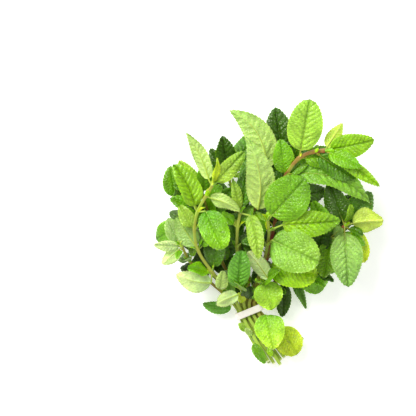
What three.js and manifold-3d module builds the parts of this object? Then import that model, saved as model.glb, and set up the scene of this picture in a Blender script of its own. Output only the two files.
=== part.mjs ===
// A tied bunch of fresh mint, lying on its back: thirteen leafy stems held at the neck by a flat band.
// Millimetres. X runs across the bunch, Y towards the leaf tips and Z up. The origin is the middle of
// the flat spot that the band rests on.
import * as THREE from "three";
import { mergeVertices } from "three/addons/utils/BufferGeometryUtils.js";
import Module from "manifold-3d";

const wasm = await Module();
wasm.setup();

// The neck: stems stand in three rows inside the band and splay out below it to their cut ends.
const STEM_HALF_SIDE = 1.35;
const STEM_TIP_SHARE = 0.75;
const STEPS_PER_POINT = 1.5;
const ROW_HEIGHTS = { back: 3.5, middle: 7.3, front: 11.1 };
const NECK_MIDDLE_HEIGHT = ROW_HEIGHTS.middle;
const BAND_TILT = THREE.MathUtils.degToRad(23);
const ACROSS = new THREE.Vector3(Math.cos(BAND_TILT), Math.sin(BAND_TILT), 0);
const DOWN = new THREE.Vector3(Math.sin(BAND_TILT), -Math.cos(BAND_TILT), 0);
const CUT_TILT = THREE.MathUtils.degToRad(33);
const TO_CUT = new THREE.Vector3(Math.sin(CUT_TILT), -Math.cos(CUT_TILT), 0);
const STRAIGHT_HALF_LENGTH = 5.5;
const CUT_LENGTH = 46;
const CUT_LENGTH_SPREAD = 6;
const SPLAY = { left: 1.5, right: 1.75, up: 1.2 };
const BAND = { width: 6.4, thickness: 0.9, halfSpan: 10.9, height: 13.3, corner: 5.4 };

// Leaves. A blade is an egg shape: its two edges leave the base and close on the tip as powers of the length.
// A small power at the tip makes a blunt leaf and a large one a slender leaf.
const BLADE_THICKNESS = 0.8;
const BASE_POWER = 0.5;
const ROUND_POINT = 0.58;
const PLAIN_POINT = 0.75;
const LONG_POINT = 0.95;
const WAVE = { height: 0.05, waves: 1.5 };
const PLAIN_FOLD = 0.12;
const PLAIN_BEND = 0.05;
const STALK_HALF_WIDTH = 0.75;
const STALK_THICKNESS = 1.2;
const STALK_SHARE = 0.12;
const TOOTH = 0.08;
const PLACED_ROWS = { apart: 6, fewest: 4, most: 7 };
const GROWN_ROWS = { apart: 7, fewest: 4, most: 5 };

// Leaves keep clear of each other by the distances between points spread over them.
const SAMPLE_ROWS = 14;
const SAMPLE_HALF_COLUMNS = 4;
const INNER_ROWS = 4;
const CLEARANCE = 3;
const STEM_CLEARANCE = 3.4;
const SAME_STEM_CLEARANCE = 2;
const STEM_SAMPLES = 90;
const STALK_SAMPLES_APART = 2;
const BAND_SAMPLES = 40;
const DEEPEST = -1.5;
const LIFT_TRIES = [0, 3, -3, 6, -6, 9, -9, 12, -12, 16, -16];
const BASE_LIFT_SHARE = 1 / 3;

// Leaves that grow by rule, in pairs that turn a quarter from joint to joint, with a small leaf in the axil.
const GROWN = {
  stalk: 4.5,
  width: 0.5,
  widthSpread: 0.16,
  bend: 0.04,
  bendSpread: 0.08,
  fold: 0.15,
  wander: 30,
  skyward: 0.8,
  tipShrink: 0.35,
};
const FIRST_JOINT = 3;
const AXIL_LEAF = 2;
const AXIL_SIZE = 0.6;
const LEAN_TRIES = [52, 66, 38, 80, 95];
const TURN_TRIES = [0, 24, -24, 48, -48];
const SIZE_TRIES = [1, 0.8, 0.62];

// Leaves that the rule adds stay inside this outline, seen from above, and between these heights.
const FAN_OUTLINE = [
  [-11, 10],
  [-54, 28],
  [-67, 60],
  [-64, 100],
  [-54, 130],
  [-28, 130],
  [-12, 150],
  [20, 164],
  [46, 168],
  [62, 152],
  [94, 130],
  [99, 90],
  [92, 44],
  [70, 24],
  [28, 2],
  [10, 6],
];
const FAN_HEIGHTS = { low: 0.8, high: 48 };

const UP = [0, 0, 1];
const UNDER = [0, 0, -1];

// Each stem: its place in the neck, the points it grows through above the band, and the leaves that were
// placed one by one. A leaf sits at a point of the route, counted from the cut end as 0. Its fold lifts its
// two edges, its bend arches it off its face, and its curve sweeps it sideways.
const SPRIGS = [
  {
    name: "sprig_front_left",
    row: "front",
    across: -6.3,
    leaf: 30,
    route: [
      [-17.6, 18.4, 20],
      [-30.4, 32.8, 31],
      [-41.6, 50.4, 42],
      [-44.4, 66.4, 49],
      [-42, 80.8, 53],
      [-35.2, 93.6, 56],
      [-30.4, 101.6, 58],
    ],
    leaves: [
      {
        at: 7,
        stalk: [-35.5, 81.5, 57],
        tip: [-21.6, 51.2, 61],
        width: 22.5,
        face: [0.1, 0.1, 1],
        point: ROUND_POINT,
      },
      { at: 7, tip: [-61.6, 118.4, 60], width: 18, face: [0.4, 0.1, 1], fold: 0.4, curve: 0.05 },
      { at: 9, tip: [-51.2, 144, 62], width: 12, face: [0.2, 0.1, -1], curve: -0.04, point: LONG_POINT },
      { at: 9, tip: [-26.4, 124, 66], width: 8, face: [0.8, 0, 0.7], fold: 0.3, point: LONG_POINT },
      { at: 9, tip: [-4.8, 128.8, 57], width: 14, face: [0, -0.3, 1] },
      {
        at: 8,
        tip: [-8, 81.6, 53],
        width: 12,
        face: [0, 0.5, -1],
        bend: -0.15,
        curve: 0.12,
        point: LONG_POINT,
      },
      { at: 6, tip: [-56, 86.4, 51], width: 12, face: [-0.2, 0, 1] },
      { at: 5, tip: [-59.2, 76.8, 44], width: 17, face: UNDER },
      {
        at: 4,
        stalk: [-31, 24, 31],
        tip: [-59, 31, 34],
        width: 18,
        face: [0, 0.2, -1],
        bend: -0.08,
        curve: 0.06,
      },
      { at: 3, stalk: [-23.5, 18.5, 29], tip: [-21.5, 34, 36], width: 10, face: [0.1, 0, 1] },
      { at: 0.45, stalk: [3, -26, 15], tip: [12.5, -42, 16], width: 8, face: UP },
    ],
  },
  {
    name: "sprig_front_centre",
    row: "front",
    across: -2.1,
    leaf: 28,
    cut: [25.5, -43.5],
    route: [
      [-5.6, 16.8, 21],
      [-8.8, 36, 32],
      [-10.4, 52, 38],
      [-10, 68, 43],
      [-8, 80, 46],
    ],
    leaves: [
      {
        at: 3,
        stalk: [-10, 20.5, 31],
        tip: [-7.2, 50.4, 47],
        width: 17.6,
        face: [0, -0.15, 1],
        point: ROUND_POINT,
      },
      { at: 3, stalk: [-9.6, 14.5, 24], tip: [-27.2, 7, 23], width: 12, face: [0, 0.2, -1] },
      { at: 7, stalk: [-0.5, 78, 51], tip: [6, 43, 58], width: 14, face: [-0.4, -0.2, 1], curve: -0.08 },
      { at: 7, tip: [-14.4, 108, 53], width: 9, face: [0.4, 0, 1], point: LONG_POINT },
      { at: 7, tip: [0, 120, 41], width: 14, face: [-0.2, 0, 1] },
    ],
  },
  {
    name: "sprig_front_right",
    row: "front",
    across: 2.1,
    leaf: 34,
    route: [
      [4, 16.8, 18],
      [10, 36, 26],
      [14, 54.4, 37],
      [15, 66, 45],
      [14, 74, 51],
    ],
    leaves: [
      {
        at: 5,
        stalk: [17.6, 58.4, 48],
        tip: [54.4, 40.8, 60],
        width: 34,
        face: [0.05, -0.1, 1],
        bend: 0.08,
        point: ROUND_POINT,
      },
      { at: 4, stalk: [17, 38, 30], tip: [54, 30, 44], width: 27, face: [0, -0.2, 1], point: ROUND_POINT },
      {
        at: 7,
        stalk: [17, 78, 58],
        tip: [43, 107, 64],
        width: 34,
        face: [0.1, 0.05, 1],
        bend: 0.06,
        point: ROUND_POINT,
      },
      { at: 6, stalk: [25.6, 70.4, 55], tip: [72, 74, 56], width: 21, face: [0, -0.2, 1] },
      { at: 6, tip: [-1, 70, 60], width: 14, face: UP },
      { at: 0.9, stalk: [13.6, -2.5, 17], tip: [19.5, -29.6, 19], width: 24, face: [0.05, 0, 1] },
    ],
  },
  {
    name: "sprig_front_low",
    row: "front",
    across: 6.3,
    leaf: 24,
    route: [
      [8, 12, 19],
      [9, 22, 25],
    ],
    leaves: [
      { at: 4, stalk: [12.5, 24.5, 30], tip: [18, 2, 30], width: 23, face: [0.05, -0.1, 1] },
      { at: 4, stalk: [15, 27, 34], tip: [-1.6, 49.6, 44], width: 13, face: [0.2, 0.2, -1], fold: 0.25 },
      {
        at: 0.7,
        stalk: [25, -13.6, 12],
        tip: [38.5, -35, 11],
        width: 22,
        face: [0.1, 0, 1],
        point: ROUND_POINT,
      },
    ],
  },
  {
    name: "sprig_left",
    row: "middle",
    across: -8.4,
    leaf: 26,
    route: [
      [-19.2, 12.8, 13],
      [-35.2, 27.2, 21],
      [-48, 40.8, 29],
      [-54.4, 52.8, 36],
    ],
    leaves: [
      { at: 6, tip: [-77, 54.5, 42], width: 9, face: [0, -0.2, 1] },
      { at: 6, tip: [-70.4, 39, 38], width: 11, face: [0.2, 0, -1], fold: 0.3 },
      { at: 6, tip: [-66, 76, 42], width: 14, face: [-0.2, 0, 1] },
      { at: 2.6, stalk: [-15, 3.5, 10], tip: [-38, 6.5, 10], width: 10, face: UP, curve: -0.08 },
    ],
  },
  {
    name: "sprig_tall_left",
    row: "middle",
    across: -4.2,
    leaf: 34,
    route: [
      [-11.2, 20, 12],
      [-22.4, 40.8, 19],
      [-29, 60, 25],
      [-33, 78, 30],
      [-38, 94, 34],
    ],
    leaves: [
      { at: 7, tip: [-57, 122, 44], width: 13, face: [0.1, 0, 1] },
      { at: 7, tip: [-36, 124, 44], width: 13, face: [0.3, 0, 1] },
      { at: 4, tip: [-19, 54, 31], width: 9, face: [0.2, 0, 1] },
      { at: 6, tip: [-64, 92, 38], width: 15, face: [0, 0.3, 1] },
      { at: 6, tip: [-14, 100, 36], width: 15, face: UP },
    ],
  },
  {
    name: "sprig_tall_centre",
    row: "middle",
    across: 0,
    leaf: 36,
    route: [
      [-0.8, 22.4, 14],
      [0, 46.4, 22],
      [2.4, 70.4, 29],
      [5.6, 92, 35],
      [9.6, 112.8, 39],
    ],
    leaves: [
      {
        at: 6,
        stalk: [6, 83, 47],
        tip: [-3.5, 140, 66],
        width: 23,
        face: [0.1, -0.1, -1],
        bend: -0.06,
        curve: -0.1,
        point: LONG_POINT,
      },
      {
        at: 7,
        stalk: [13, 116, 44],
        tip: [-16.8, 161.6, 54],
        width: 23,
        face: [-0.1, 0.1, -1],
        bend: -0.02,
        curve: -0.16,
        point: LONG_POINT,
      },
      { at: 7, tip: [4, 140, 42], width: 13, face: UP },
      { at: 7, tip: [42, 115, 38], width: 16, face: UP },
    ],
  },
  {
    name: "sprig_upper_right",
    row: "middle",
    across: 4.2,
    leaf: 34,
    route: [
      [6.4, 20, 15],
      [13.6, 44, 24],
      [19.2, 68, 33],
      [23.2, 90.4, 40],
      [28, 108.8, 46],
      [39.2, 124, 50],
      [50.4, 128.8, 52],
      [59.2, 129.6, 53],
    ],
    leaves: [
      {
        at: 8,
        stalk: [40, 130, 55],
        tip: [46.8, 170, 66],
        width: 27.5,
        face: [0, -0.15, 1],
        point: ROUND_POINT,
      },
      {
        at: 7,
        stalk: [38, 112, 43],
        tip: [97, 87, 37],
        width: 22,
        face: [0.3, 0.5, 0.9],
        bend: 0.14,
        curve: -0.06,
        point: LONG_POINT,
      },
      { at: 10, tip: [73, 151.2, 60], width: 12, face: [0.2, 0, -1], point: LONG_POINT },
      { at: 10, tip: [98.4, 138, 58], width: 20, face: [0, -0.3, 1] },
      { at: 10, tip: [87, 116, 60], width: 13.6, face: [0, 0.3, 1] },
      { at: 10, tip: [103.2, 101, 50], width: 11, face: [0.2, 0.3, 1] },
      { at: 7, tip: [24, 139, 50], width: 17, face: [0.2, 0, 1] },
      { at: 6, tip: [62, 98, 36], width: 20, face: [0, -0.2, 1] },
      { at: 8, tip: [74, 126, 42], width: 17, face: UP },
      { at: 9, tip: [84, 107, 41], width: 18, face: UP },
    ],
  },
  {
    name: "sprig_right",
    row: "middle",
    across: 8.4,
    leaf: 32,
    cut: [44, -23],
    route: [
      [12.5, 17, 11],
      [30.5, 30.5, 18],
      [49.6, 45.6, 26],
      [64.8, 60, 31],
      [76, 69.6, 35],
    ],
    leaves: [
      { at: 7, stalk: [75.6, 64, 40], tip: [78.4, 20.8, 38], width: 25.6, face: [0.1, 0, 1] },
      { at: 7, stalk: [82, 72, 39], tip: [106.4, 73.5, 44], width: 21, face: [0.1, 0.5, -1], fold: 0.25 },
      { at: 7, stalk: [82, 64.8, 33], tip: [93, 40, 28], width: 17, face: [0.3, 0, 1] },
      { at: 7, tip: [98, 97, 32], width: 21, face: UP },
      { at: 6, tip: [83, 95, 22], width: 20, face: UP },
      { at: 7, tip: [63, 104, 34], width: 19, face: [-0.2, 0, 1] },
      { at: 6, tip: [50, 90, 40], width: 16, face: [-0.1, 0, 1] },
      { at: 6, tip: [59, 28, 27], width: 18, face: UP },
      { at: 5, stalk: [52, 50, 29], tip: [64, 76, 36], width: 19, face: UP },
    ],
  },
  {
    name: "sprig_back_left",
    row: "back",
    across: -6.3,
    leaf: 32,
    route: [
      [-14.4, 13.6, 5],
      [-30.4, 30.4, 8],
      [-43.2, 50.4, 11],
      [-52.8, 71.2, 14],
      [-59.2, 90.4, 17],
    ],
    leaves: [
      { at: 6, tip: [-76, 58, 0.2], width: 19, face: [-0.3, 0, 1], bend: 0.1 },
      { at: 7, tip: [-64, 118, 22], width: 17, face: UP },
      { at: 5, stalk: [-42, 45, 4], tip: [-38, 20, 1], width: 15, face: UP, bend: 0 },
      { at: 4, stalk: [-29, 34, 3], tip: [-12, 45, 2], width: 16, face: UP, bend: 0 },
    ],
  },
  {
    name: "sprig_back_centre",
    row: "back",
    across: -2.1,
    leaf: 34,
    route: [
      [-3.2, 20.8, 5],
      [-6.4, 44, 9],
      [-9.6, 68, 13],
      [-12.8, 90.4, 17],
      [-16.8, 109.6, 21],
    ],
    leaves: [
      { at: 7, tip: [-22.4, 142, 34], width: 17, face: [0.2, 0, 1] },
      { at: 7, tip: [-32, 132, 27], width: 12, face: [-0.2, 0, 1] },
      { at: 7, tip: [8, 145, 0.2], width: 19, face: [0, 0.4, 1], bend: 0.14 },
      { at: 6, tip: [-22, 74, 10], width: 14, face: UP },
    ],
  },
  {
    name: "sprig_back_upper_right",
    row: "back",
    across: 2.1,
    leaf: 36,
    route: [
      [3, 18.4, 7],
      [15, 44, 11],
      [24.8, 70.4, 16],
      [29.6, 94.4, 21],
      [29.6, 114.4, 25],
    ],
    leaves: [
      { at: 7, stalk: [27.2, 119, 30], tip: [20.5, 165, 46], width: 26, face: [0, -0.2, 1] },
      { at: 7, tip: [50, 135, 22], width: 16, face: UP, bend: 0.1 },
      { at: 4, stalk: [10, 38, 3], tip: [4, 15, 0.5], width: 11, face: UP, bend: 0 },
      { at: 5, tip: [11, 85, 8], width: 19, face: UP },
      { at: 5, tip: [13, 52, 7], width: 13, face: UP },
    ],
  },
  {
    name: "sprig_back_right",
    row: "back",
    across: 6.3,
    leaf: 28,
    route: [
      [10, 14.5, 4.5],
      [21, 24, 8],
      [34, 29.5, 11],
      [48, 32.8, 12],
    ],
    leaves: [
      { at: 6, stalk: [50, 31, 13], tip: [57, 15, 6], width: 22, face: [0, -0.2, 1] },
      { at: 5, tip: [46.4, 1.6, 4], width: 8, face: [0.5, 0, 1], point: LONG_POINT },
      { at: 4, stalk: [28, 22, 4], tip: [27, -5, 3], width: 13, face: UP },
      { at: 6, tip: [84, 50, 0.2], width: 20, face: [0.1, 0, 1], fold: 0.05, bend: 0.1 },
    ],
  },
];

// The same plain pseudo-random number from 0 to 1 for the same three whole numbers.
function chance(a, b, c) {
  const mixed = Math.sin(a * 12.9898 + b * 78.233 + c * 37.719) * 43758.5453;
  return mixed - Math.floor(mixed);
}

const vector = (p) => new THREE.Vector3(...p);

// The line of a stem, from its cut end through the band to its tip.
function stemCurve(sprig, number) {
  const height = ROW_HEIGHTS[sprig.row];
  const neck = ACROSS.clone().multiplyScalar(sprig.across).setZ(height);
  const splay = sprig.across > 0 ? SPLAY.right : SPLAY.left;
  const length = CUT_LENGTH + CUT_LENGTH_SPREAD * (chance(number, 1, 0) - 0.5);
  const cut = ACROSS.clone().multiplyScalar(sprig.across * splay).addScaledVector(TO_CUT, length);
  if (sprig.cut) cut.set(...sprig.cut, 0);
  cut.z = NECK_MIDDLE_HEIGHT + (height - NECK_MIDDLE_HEIGHT) * SPLAY.up;
  return new THREE.CatmullRomCurve3([
    cut,
    neck.clone().addScaledVector(DOWN, STRAIGHT_HALF_LENGTH),
    neck.clone().addScaledVector(DOWN, -STRAIGHT_HALF_LENGTH),
    ...sprig.route.map(vector),
  ]);
}

const pointAt = (curve, at) => curve.getPoint(at / (curve.points.length - 1));

// A leaf's own directions, worked out from where its blade starts and ends and which way it faces.
function framed(leaf) {
  const along = leaf.tip.clone().sub(leaf.stalk);
  const length = along.length();
  along.divideScalar(length);
  const up = leaf.face.clone().addScaledVector(along, -leaf.face.dot(along)).normalize();
  const side = new THREE.Vector3().crossVectors(along, up);
  return { ...leaf, along, length, up, side };
}

// Half the blade's width, as a share of its widest.
function outline(share, point) {
  const egg = (s) => Math.pow(s, BASE_POWER) * Math.pow(1 - s, point);
  return egg(share) / egg(BASE_POWER / (BASE_POWER + point));
}

// A point of the blade's middle surface. share runs from base to tip, and across from -1 to 1.
function bladePoint(leaf, share, across, margin = 1) {
  const half = Math.max((leaf.width / 2) * outline(share, leaf.point) * margin, STALK_HALF_WIDTH);
  const arch = leaf.length * 4 * share * (1 - share);
  const slope = 4 * (1 - 2 * share);
  const up = leaf.up.clone().addScaledVector(leaf.along, -leaf.bend * slope).normalize();
  const side = leaf.side.clone().addScaledVector(leaf.along, -leaf.curve * slope).normalize();
  const turn = 2 * Math.PI * WAVE.waves * share + leaf.phase + across;
  const wave = WAVE.height * leaf.width * Math.sin(turn);
  const lift = half * leaf.fold * Math.abs(across) + wave * across * across;
  const point = leaf.stalk
    .clone()
    .addScaledVector(leaf.along, leaf.length * share)
    .addScaledVector(leaf.up, leaf.bend * arch)
    .addScaledVector(leaf.side, leaf.curve * arch)
    .addScaledVector(side, half * across)
    .addScaledVector(up, lift);
  return { point, up };
}

// Points spread over a blade, for keeping leaves apart.
function bladeSamples(leaf) {
  const points = [];
  for (let i = 0; i < SAMPLE_ROWS; i++) {
    for (let j = -SAMPLE_HALF_COLUMNS; j <= SAMPLE_HALF_COLUMNS; j++) {
      points.push(bladePoint(leaf, i / (SAMPLE_ROWS - 1), j / SAMPLE_HALF_COLUMNS).point);
    }
  }
  return points;
}

// Points along a leaf's stalk.
function stalkSamples(leaf) {
  const count = Math.ceil(leaf.root.distanceTo(leaf.stalk) / STALK_SAMPLES_APART);
  return Array.from({ length: count + 1 }, (_, i) => leaf.root.clone().lerp(leaf.stalk, i / count));
}

function leafClouds(leaf, owner) {
  const points = bladeSamples(leaf);
  const outer = points.slice(INNER_ROWS * (2 * SAMPLE_HALF_COLUMNS + 1));
  const blade = { ...cloud(points, owner, CLEARANCE), outer };
  const stalk = { ...cloud(stalkSamples(leaf), owner, CLEARANCE), joinsStem: true };
  return [blade, stalk];
}

function stemSamples(curve) {
  return Array.from({ length: STEM_SAMPLES + 1 }, (_, i) => curve.getPoint(i / STEM_SAMPLES));
}

// Points round the band, where no leaf goes.
function bandSamples() {
  const points = [];
  for (let i = 0; i < BAND_SAMPLES; i++) {
    const turn = (2 * Math.PI * i) / BAND_SAMPLES;
    for (const along of [-0.5, 0, 0.5]) {
      points.push(
        ACROSS.clone()
          .multiplyScalar(BAND.halfSpan * Math.cos(turn))
          .addScaledVector(DOWN, along * BAND.width)
          .setZ(BAND.height / 2 + (BAND.height / 2) * Math.sin(turn)),
      );
    }
  }
  return points;
}

// Points with the number of the sprig that they belong to and the gap that they keep.
function cloud(points, owner, gap) {
  const centre = new THREE.Box3().setFromPoints(points).getCenter(new THREE.Vector3());
  const reach = Math.max(...points.map((p) => p.distanceTo(centre)));
  return { points, centre, reach, owner, gap };
}

// True if two clouds keep their gap. A stem and the stalks of its own leaves may meet.
function apart(made, other) {
  const same = made.owner === other.owner;
  if (same && (made.joinsStem || other.joinsStem)) return true;
  const gap = same ? SAME_STEM_CLEARANCE : Math.max(made.gap, other.gap);
  if (made.centre.distanceTo(other.centre) > made.reach + other.reach + gap) return true;
  const [from, to] = same ? [made.outer, other.outer] : [made.points, other.points];
  return from.every((p) => to.every((q) => p.distanceToSquared(q) > gap * gap));
}

const isClear = (made, placed) => made.every((m) => placed.every((other) => apart(m, other)));

// A leaf that was placed by hand: its tip goes up or down until the leaf is clear of the others.
function handPlaced(spec, number, order, curve, placed) {
  const root = pointAt(curve, spec.at);
  const tip = vector(spec.tip);
  const stalk = spec.stalk ? vector(spec.stalk) : root.clone().lerp(tip, STALK_SHARE);
  for (const lift of LIFT_TRIES) {
    const leaf = framed({
      root,
      stalk: stalk.clone().setZ(stalk.z + lift * BASE_LIFT_SHARE),
      tip: tip.clone().setZ(tip.z + lift),
      face: vector(spec.face).normalize(),
      width: spec.width,
      fold: spec.fold ?? PLAIN_FOLD,
      bend: spec.bend ?? PLAIN_BEND,
      curve: spec.curve ?? 0,
      point: spec.point ?? PLAIN_POINT,
      phase: 6 * chance(number, order, 2),
      rows: PLACED_ROWS,
    });
    const made = leafClouds(leaf, number);
    if (made[0].points.every((p) => p.z > DEEPEST) && isClear(made, placed)) return { leaf, made };
  }
  return null;
}

// A leaf that grows by rule. It leans and turns away from the stem until it is clear, or grows smaller.
function grown(sprig, number, node, which, curve, placed) {
  const last = curve.points.length - 1;
  const root = pointAt(curve, node);
  const forward = curve.getTangent(node / last);
  const flat = new THREE.Vector3(forward.y, -forward.x, 0).normalize();
  const steep = new THREE.Vector3().crossVectors(flat, forward);
  const nearTip = Math.max(0, node - FIRST_JOINT - 1) / Math.max(1, last - FIRST_JOINT - 1);
  const full = sprig.leaf * (1 - GROWN.tipShrink * nearTip);
  const quarter = (node + (which === AXIL_LEAF ? 1 : 0)) % 2;
  const start = 90 * quarter + 180 * which + GROWN.wander * chance(number, node, 3);
  for (const size of which === AXIL_LEAF ? [AXIL_SIZE] : SIZE_TRIES) {
    for (const turned of TURN_TRIES) {
      for (const lean of LEAN_TRIES) {
        const turn = THREE.MathUtils.degToRad(start + turned);
        const angle = THREE.MathUtils.degToRad(lean);
        const out = flat.clone().multiplyScalar(Math.cos(turn)).addScaledVector(steep, Math.sin(turn));
        const heading = forward.clone().multiplyScalar(Math.cos(angle)).addScaledVector(out, Math.sin(angle));
        const length = full * size;
        const leaf = framed({
          root,
          stalk: root.clone().addScaledVector(heading, GROWN.stalk),
          tip: root.clone().addScaledVector(heading, GROWN.stalk + length),
          face: forward.clone().addScaledVector(vector(UP), GROWN.skyward).normalize(),
          width: length * (GROWN.width + GROWN.widthSpread * chance(number, node, 4 + which)),
          fold: GROWN.fold,
          bend: GROWN.bend + GROWN.bendSpread * chance(number, node, 6 + which),
          curve: 0,
          point: PLAIN_POINT,
          phase: 6 * chance(number, node, 8 + which),
          rows: GROWN_ROWS,
        });
        const made = leafClouds(leaf, number);
        if (made[0].points.every(insideFan) && isClear(made, placed)) return { leaf, made };
      }
    }
  }
  return null;
}

// True for a point that has an odd number of the outline's edges to its right.
function insideFan(p) {
  if (p.z < FAN_HEIGHTS.low || p.z > FAN_HEIGHTS.high) return false;
  const crossed = FAN_OUTLINE.filter(([x, y], i) => {
    const [nextX, nextY] = FAN_OUTLINE[(i + 1) % FAN_OUTLINE.length];
    if (y > p.y === nextY > p.y) return false;
    return p.x < x + ((p.y - y) / (nextY - y)) * (nextX - x);
  });
  return crossed.length % 2 === 1;
}

// Every leaf of every sprig: those placed by hand first, then pairs by rule at the joints of the stem.
function growLeaves(curves) {
  const stemCloud = (curve, i) => ({ ...cloud(stemSamples(curve), i, STEM_CLEARANCE), joinsStem: true });
  const placed = curves.map(stemCloud);
  placed.push(cloud(bandSamples(), -1, CLEARANCE));
  const leaves = SPRIGS.map(() => []);
  const keep = (number, found) => {
    if (!found) return;
    leaves[number].push(found.leaf);
    placed.push(...found.made);
  };
  SPRIGS.forEach((sprig, number) => {
    sprig.leaves.forEach((spec, order) => {
      keep(number, handPlaced(spec, number, order, curves[number], placed));
    });
  });
  for (const which of [0, 1, AXIL_LEAF]) {
    SPRIGS.forEach((sprig, number) => {
      const lowest = which === 0 ? FIRST_JOINT : FIRST_JOINT + 1;
      for (let node = curves[number].points.length - 1; node >= lowest; node--) {
        keep(number, grown(sprig, number, node, which, curves[number], placed));
      }
    });
  }
  return leaves;
}

// A closed solid from rings of points, each ring joined to the next, with both ends capped.
function ringSolid(rings) {
  const size = rings[0].length;
  const index = [];
  for (let i = 0; i + 1 < rings.length; i++) {
    for (let j = 0; j < size; j++) {
      const a = i * size + j;
      const b = i * size + ((j + 1) % size);
      index.push(a, b, b + size, a, b + size, a + size);
    }
  }
  const end = (rings.length - 1) * size;
  for (let j = 0; j < size / 2 - 1; j++) {
    const near = [j, j + 1, size - 2 - j, size - 1 - j];
    index.push(near[0], near[2], near[1], near[0], near[3], near[2]);
    const far = near.map((k) => k + end);
    index.push(far[0], far[1], far[2], far[0], far[2], far[3]);
  }
  const geometry = new THREE.BufferGeometry().setFromPoints(rings.flat());
  geometry.setIndex(index);
  return solid(geometry);
}

function solid(geometry) {
  geometry.deleteAttribute("normal");
  geometry.deleteAttribute("uv");
  const merged = mergeVertices(geometry, 1e-4);
  return new wasm.Manifold(
    new wasm.Mesh({
      numProp: 3,
      vertProperties: merged.attributes.position.array,
      triVerts: new Uint32Array(merged.index.array),
    }),
  );
}

// Six points round a place on a leaf, three on the upper face and three on the lower.
function leafRing(place, thickness) {
  const faces = [0.5, -0.5].map((face) =>
    [-1, 0, 1].map((across) => {
      const { point, up } = place(across);
      return point.addScaledVector(up, face * thickness);
    }),
  );
  return [...faces[0], ...faces[1].reverse()];
}

// A leaf: its stalk, from inside the stem, and a blade with a toothed edge.
function leafSolid(leaf) {
  const heading = leaf.stalk.clone().sub(leaf.root).normalize();
  const side = leaf.side.clone().addScaledVector(heading, -leaf.side.dot(heading)).normalize();
  const up = new THREE.Vector3().crossVectors(side, heading);
  const bentUp = up.clone().add(leaf.up).normalize();
  const stalkPlace = (centre, upward) => (across) => ({
    point: centre.clone().addScaledVector(side, across * STALK_HALF_WIDTH),
    up: upward,
  });
  const rings = [
    leafRing(stalkPlace(leaf.root, up), STALK_THICKNESS),
    leafRing(stalkPlace(leaf.stalk, bentUp), STALK_THICKNESS),
  ];
  const { apart: rowsApart, fewest, most } = leaf.rows;
  const rows = THREE.MathUtils.clamp(Math.round(leaf.length / rowsApart), fewest, most);
  for (let i = 1; i < rows; i++) {
    const margin = i % 2 ? 1 + TOOTH : 1 - TOOTH;
    const place = (across) => bladePoint(leaf, i / (rows - 1), across, margin);
    rings.push(leafRing(place, BLADE_THICKNESS));
  }
  return ringSolid(rings);
}

// A square stem that grows thinner towards its tip.
function stemSolid(curve) {
  const steps = Math.round(STEPS_PER_POINT * curve.points.length);
  const half = STEM_HALF_SIDE;
  const section = new THREE.Shape([
    new THREE.Vector2(-half, -half),
    new THREE.Vector2(half, -half),
    new THREE.Vector2(half, half),
    new THREE.Vector2(-half, half),
  ]);
  const geometry = new THREE.ExtrudeGeometry(section, { steps, extrudePath: curve });
  const centres = curve.getSpacedPoints(steps);
  const positions = geometry.attributes.position;
  const point = new THREE.Vector3();
  for (let i = 0; i < positions.count; i++) {
    point.fromBufferAttribute(positions, i);
    const distances = centres.map((c) => c.distanceToSquared(point));
    const nearest = distances.indexOf(Math.min(...distances));
    const taper = 1 - (1 - STEM_TIP_SHARE) * (nearest / steps);
    point.sub(centres[nearest]).multiplyScalar(taper).add(centres[nearest]);
    positions.setXYZ(i, point.x, point.y, point.z);
  }
  return solid(geometry);
}

// A block under the surface that the bunch lies on, for trimming the lowest leaves flat.
function ground() {
  const size = 400;
  const depth = 20;
  return solid(new THREE.BoxGeometry(size, size, depth).translate(0, 0, -depth / 2));
}

function geometryOf(manifold) {
  const mesh = manifold.getMesh();
  const geometry = new THREE.BufferGeometry();
  geometry.setAttribute("position", new THREE.BufferAttribute(mesh.vertProperties, mesh.numProp));
  geometry.setIndex(new THREE.BufferAttribute(mesh.triVerts, 1));
  return geometry;
}

// The largest closed body, with no sealed hollow that leaves enclose where they cross.
function outerBody(manifold) {
  return manifold.decompose().sort((a, b) => b.volume() - a.volume())[0];
}

function sprigMesh(sprig, curve, leaves, floor) {
  const pieces = [stemSolid(curve), ...leaves.map(leafSolid)];
  const whole = outerBody(wasm.Manifold.union(pieces).subtract(floor));
  const green = new THREE.MeshStandardMaterial({ color: 0x6fa82a, roughness: 0.55, metalness: 0 });
  const mesh = new THREE.Mesh(geometryOf(whole), green);
  mesh.name = sprig.name;
  return mesh;
}

function roundedBox(halfSpan, low, high, corner) {
  const shape = new THREE.Shape();
  shape.moveTo(-halfSpan + corner, low);
  shape.lineTo(halfSpan - corner, low);
  shape.absarc(halfSpan - corner, low + corner, corner, -Math.PI / 2, 0);
  shape.absarc(halfSpan - corner, high - corner, corner, 0, Math.PI / 2);
  shape.absarc(-halfSpan + corner, high - corner, corner, Math.PI / 2, Math.PI);
  shape.absarc(-halfSpan + corner, low + corner, corner, Math.PI, (3 * Math.PI) / 2);
  return shape;
}

// The flat band round the neck, with a flat underside.
function bandMesh() {
  const { width, thickness, halfSpan, height, corner } = BAND;
  const shape = roundedBox(halfSpan + thickness, 0, height + 2 * thickness, corner + thickness);
  shape.holes.push(roundedBox(halfSpan, thickness, height + thickness, corner));
  const geometry = new THREE.ExtrudeGeometry(shape, { depth: width, bevelEnabled: false, curveSegments: 5 });
  geometry.translate(0, 0, -width / 2);
  const cream = new THREE.MeshStandardMaterial({ color: 0xf3ece0, roughness: 0.6, metalness: 0 });
  const mesh = new THREE.Mesh(geometry, cream);
  mesh.name = "band";
  mesh.setRotationFromMatrix(new THREE.Matrix4().makeBasis(ACROSS, new THREE.Vector3(...UP), DOWN));
  return mesh;
}

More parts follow.
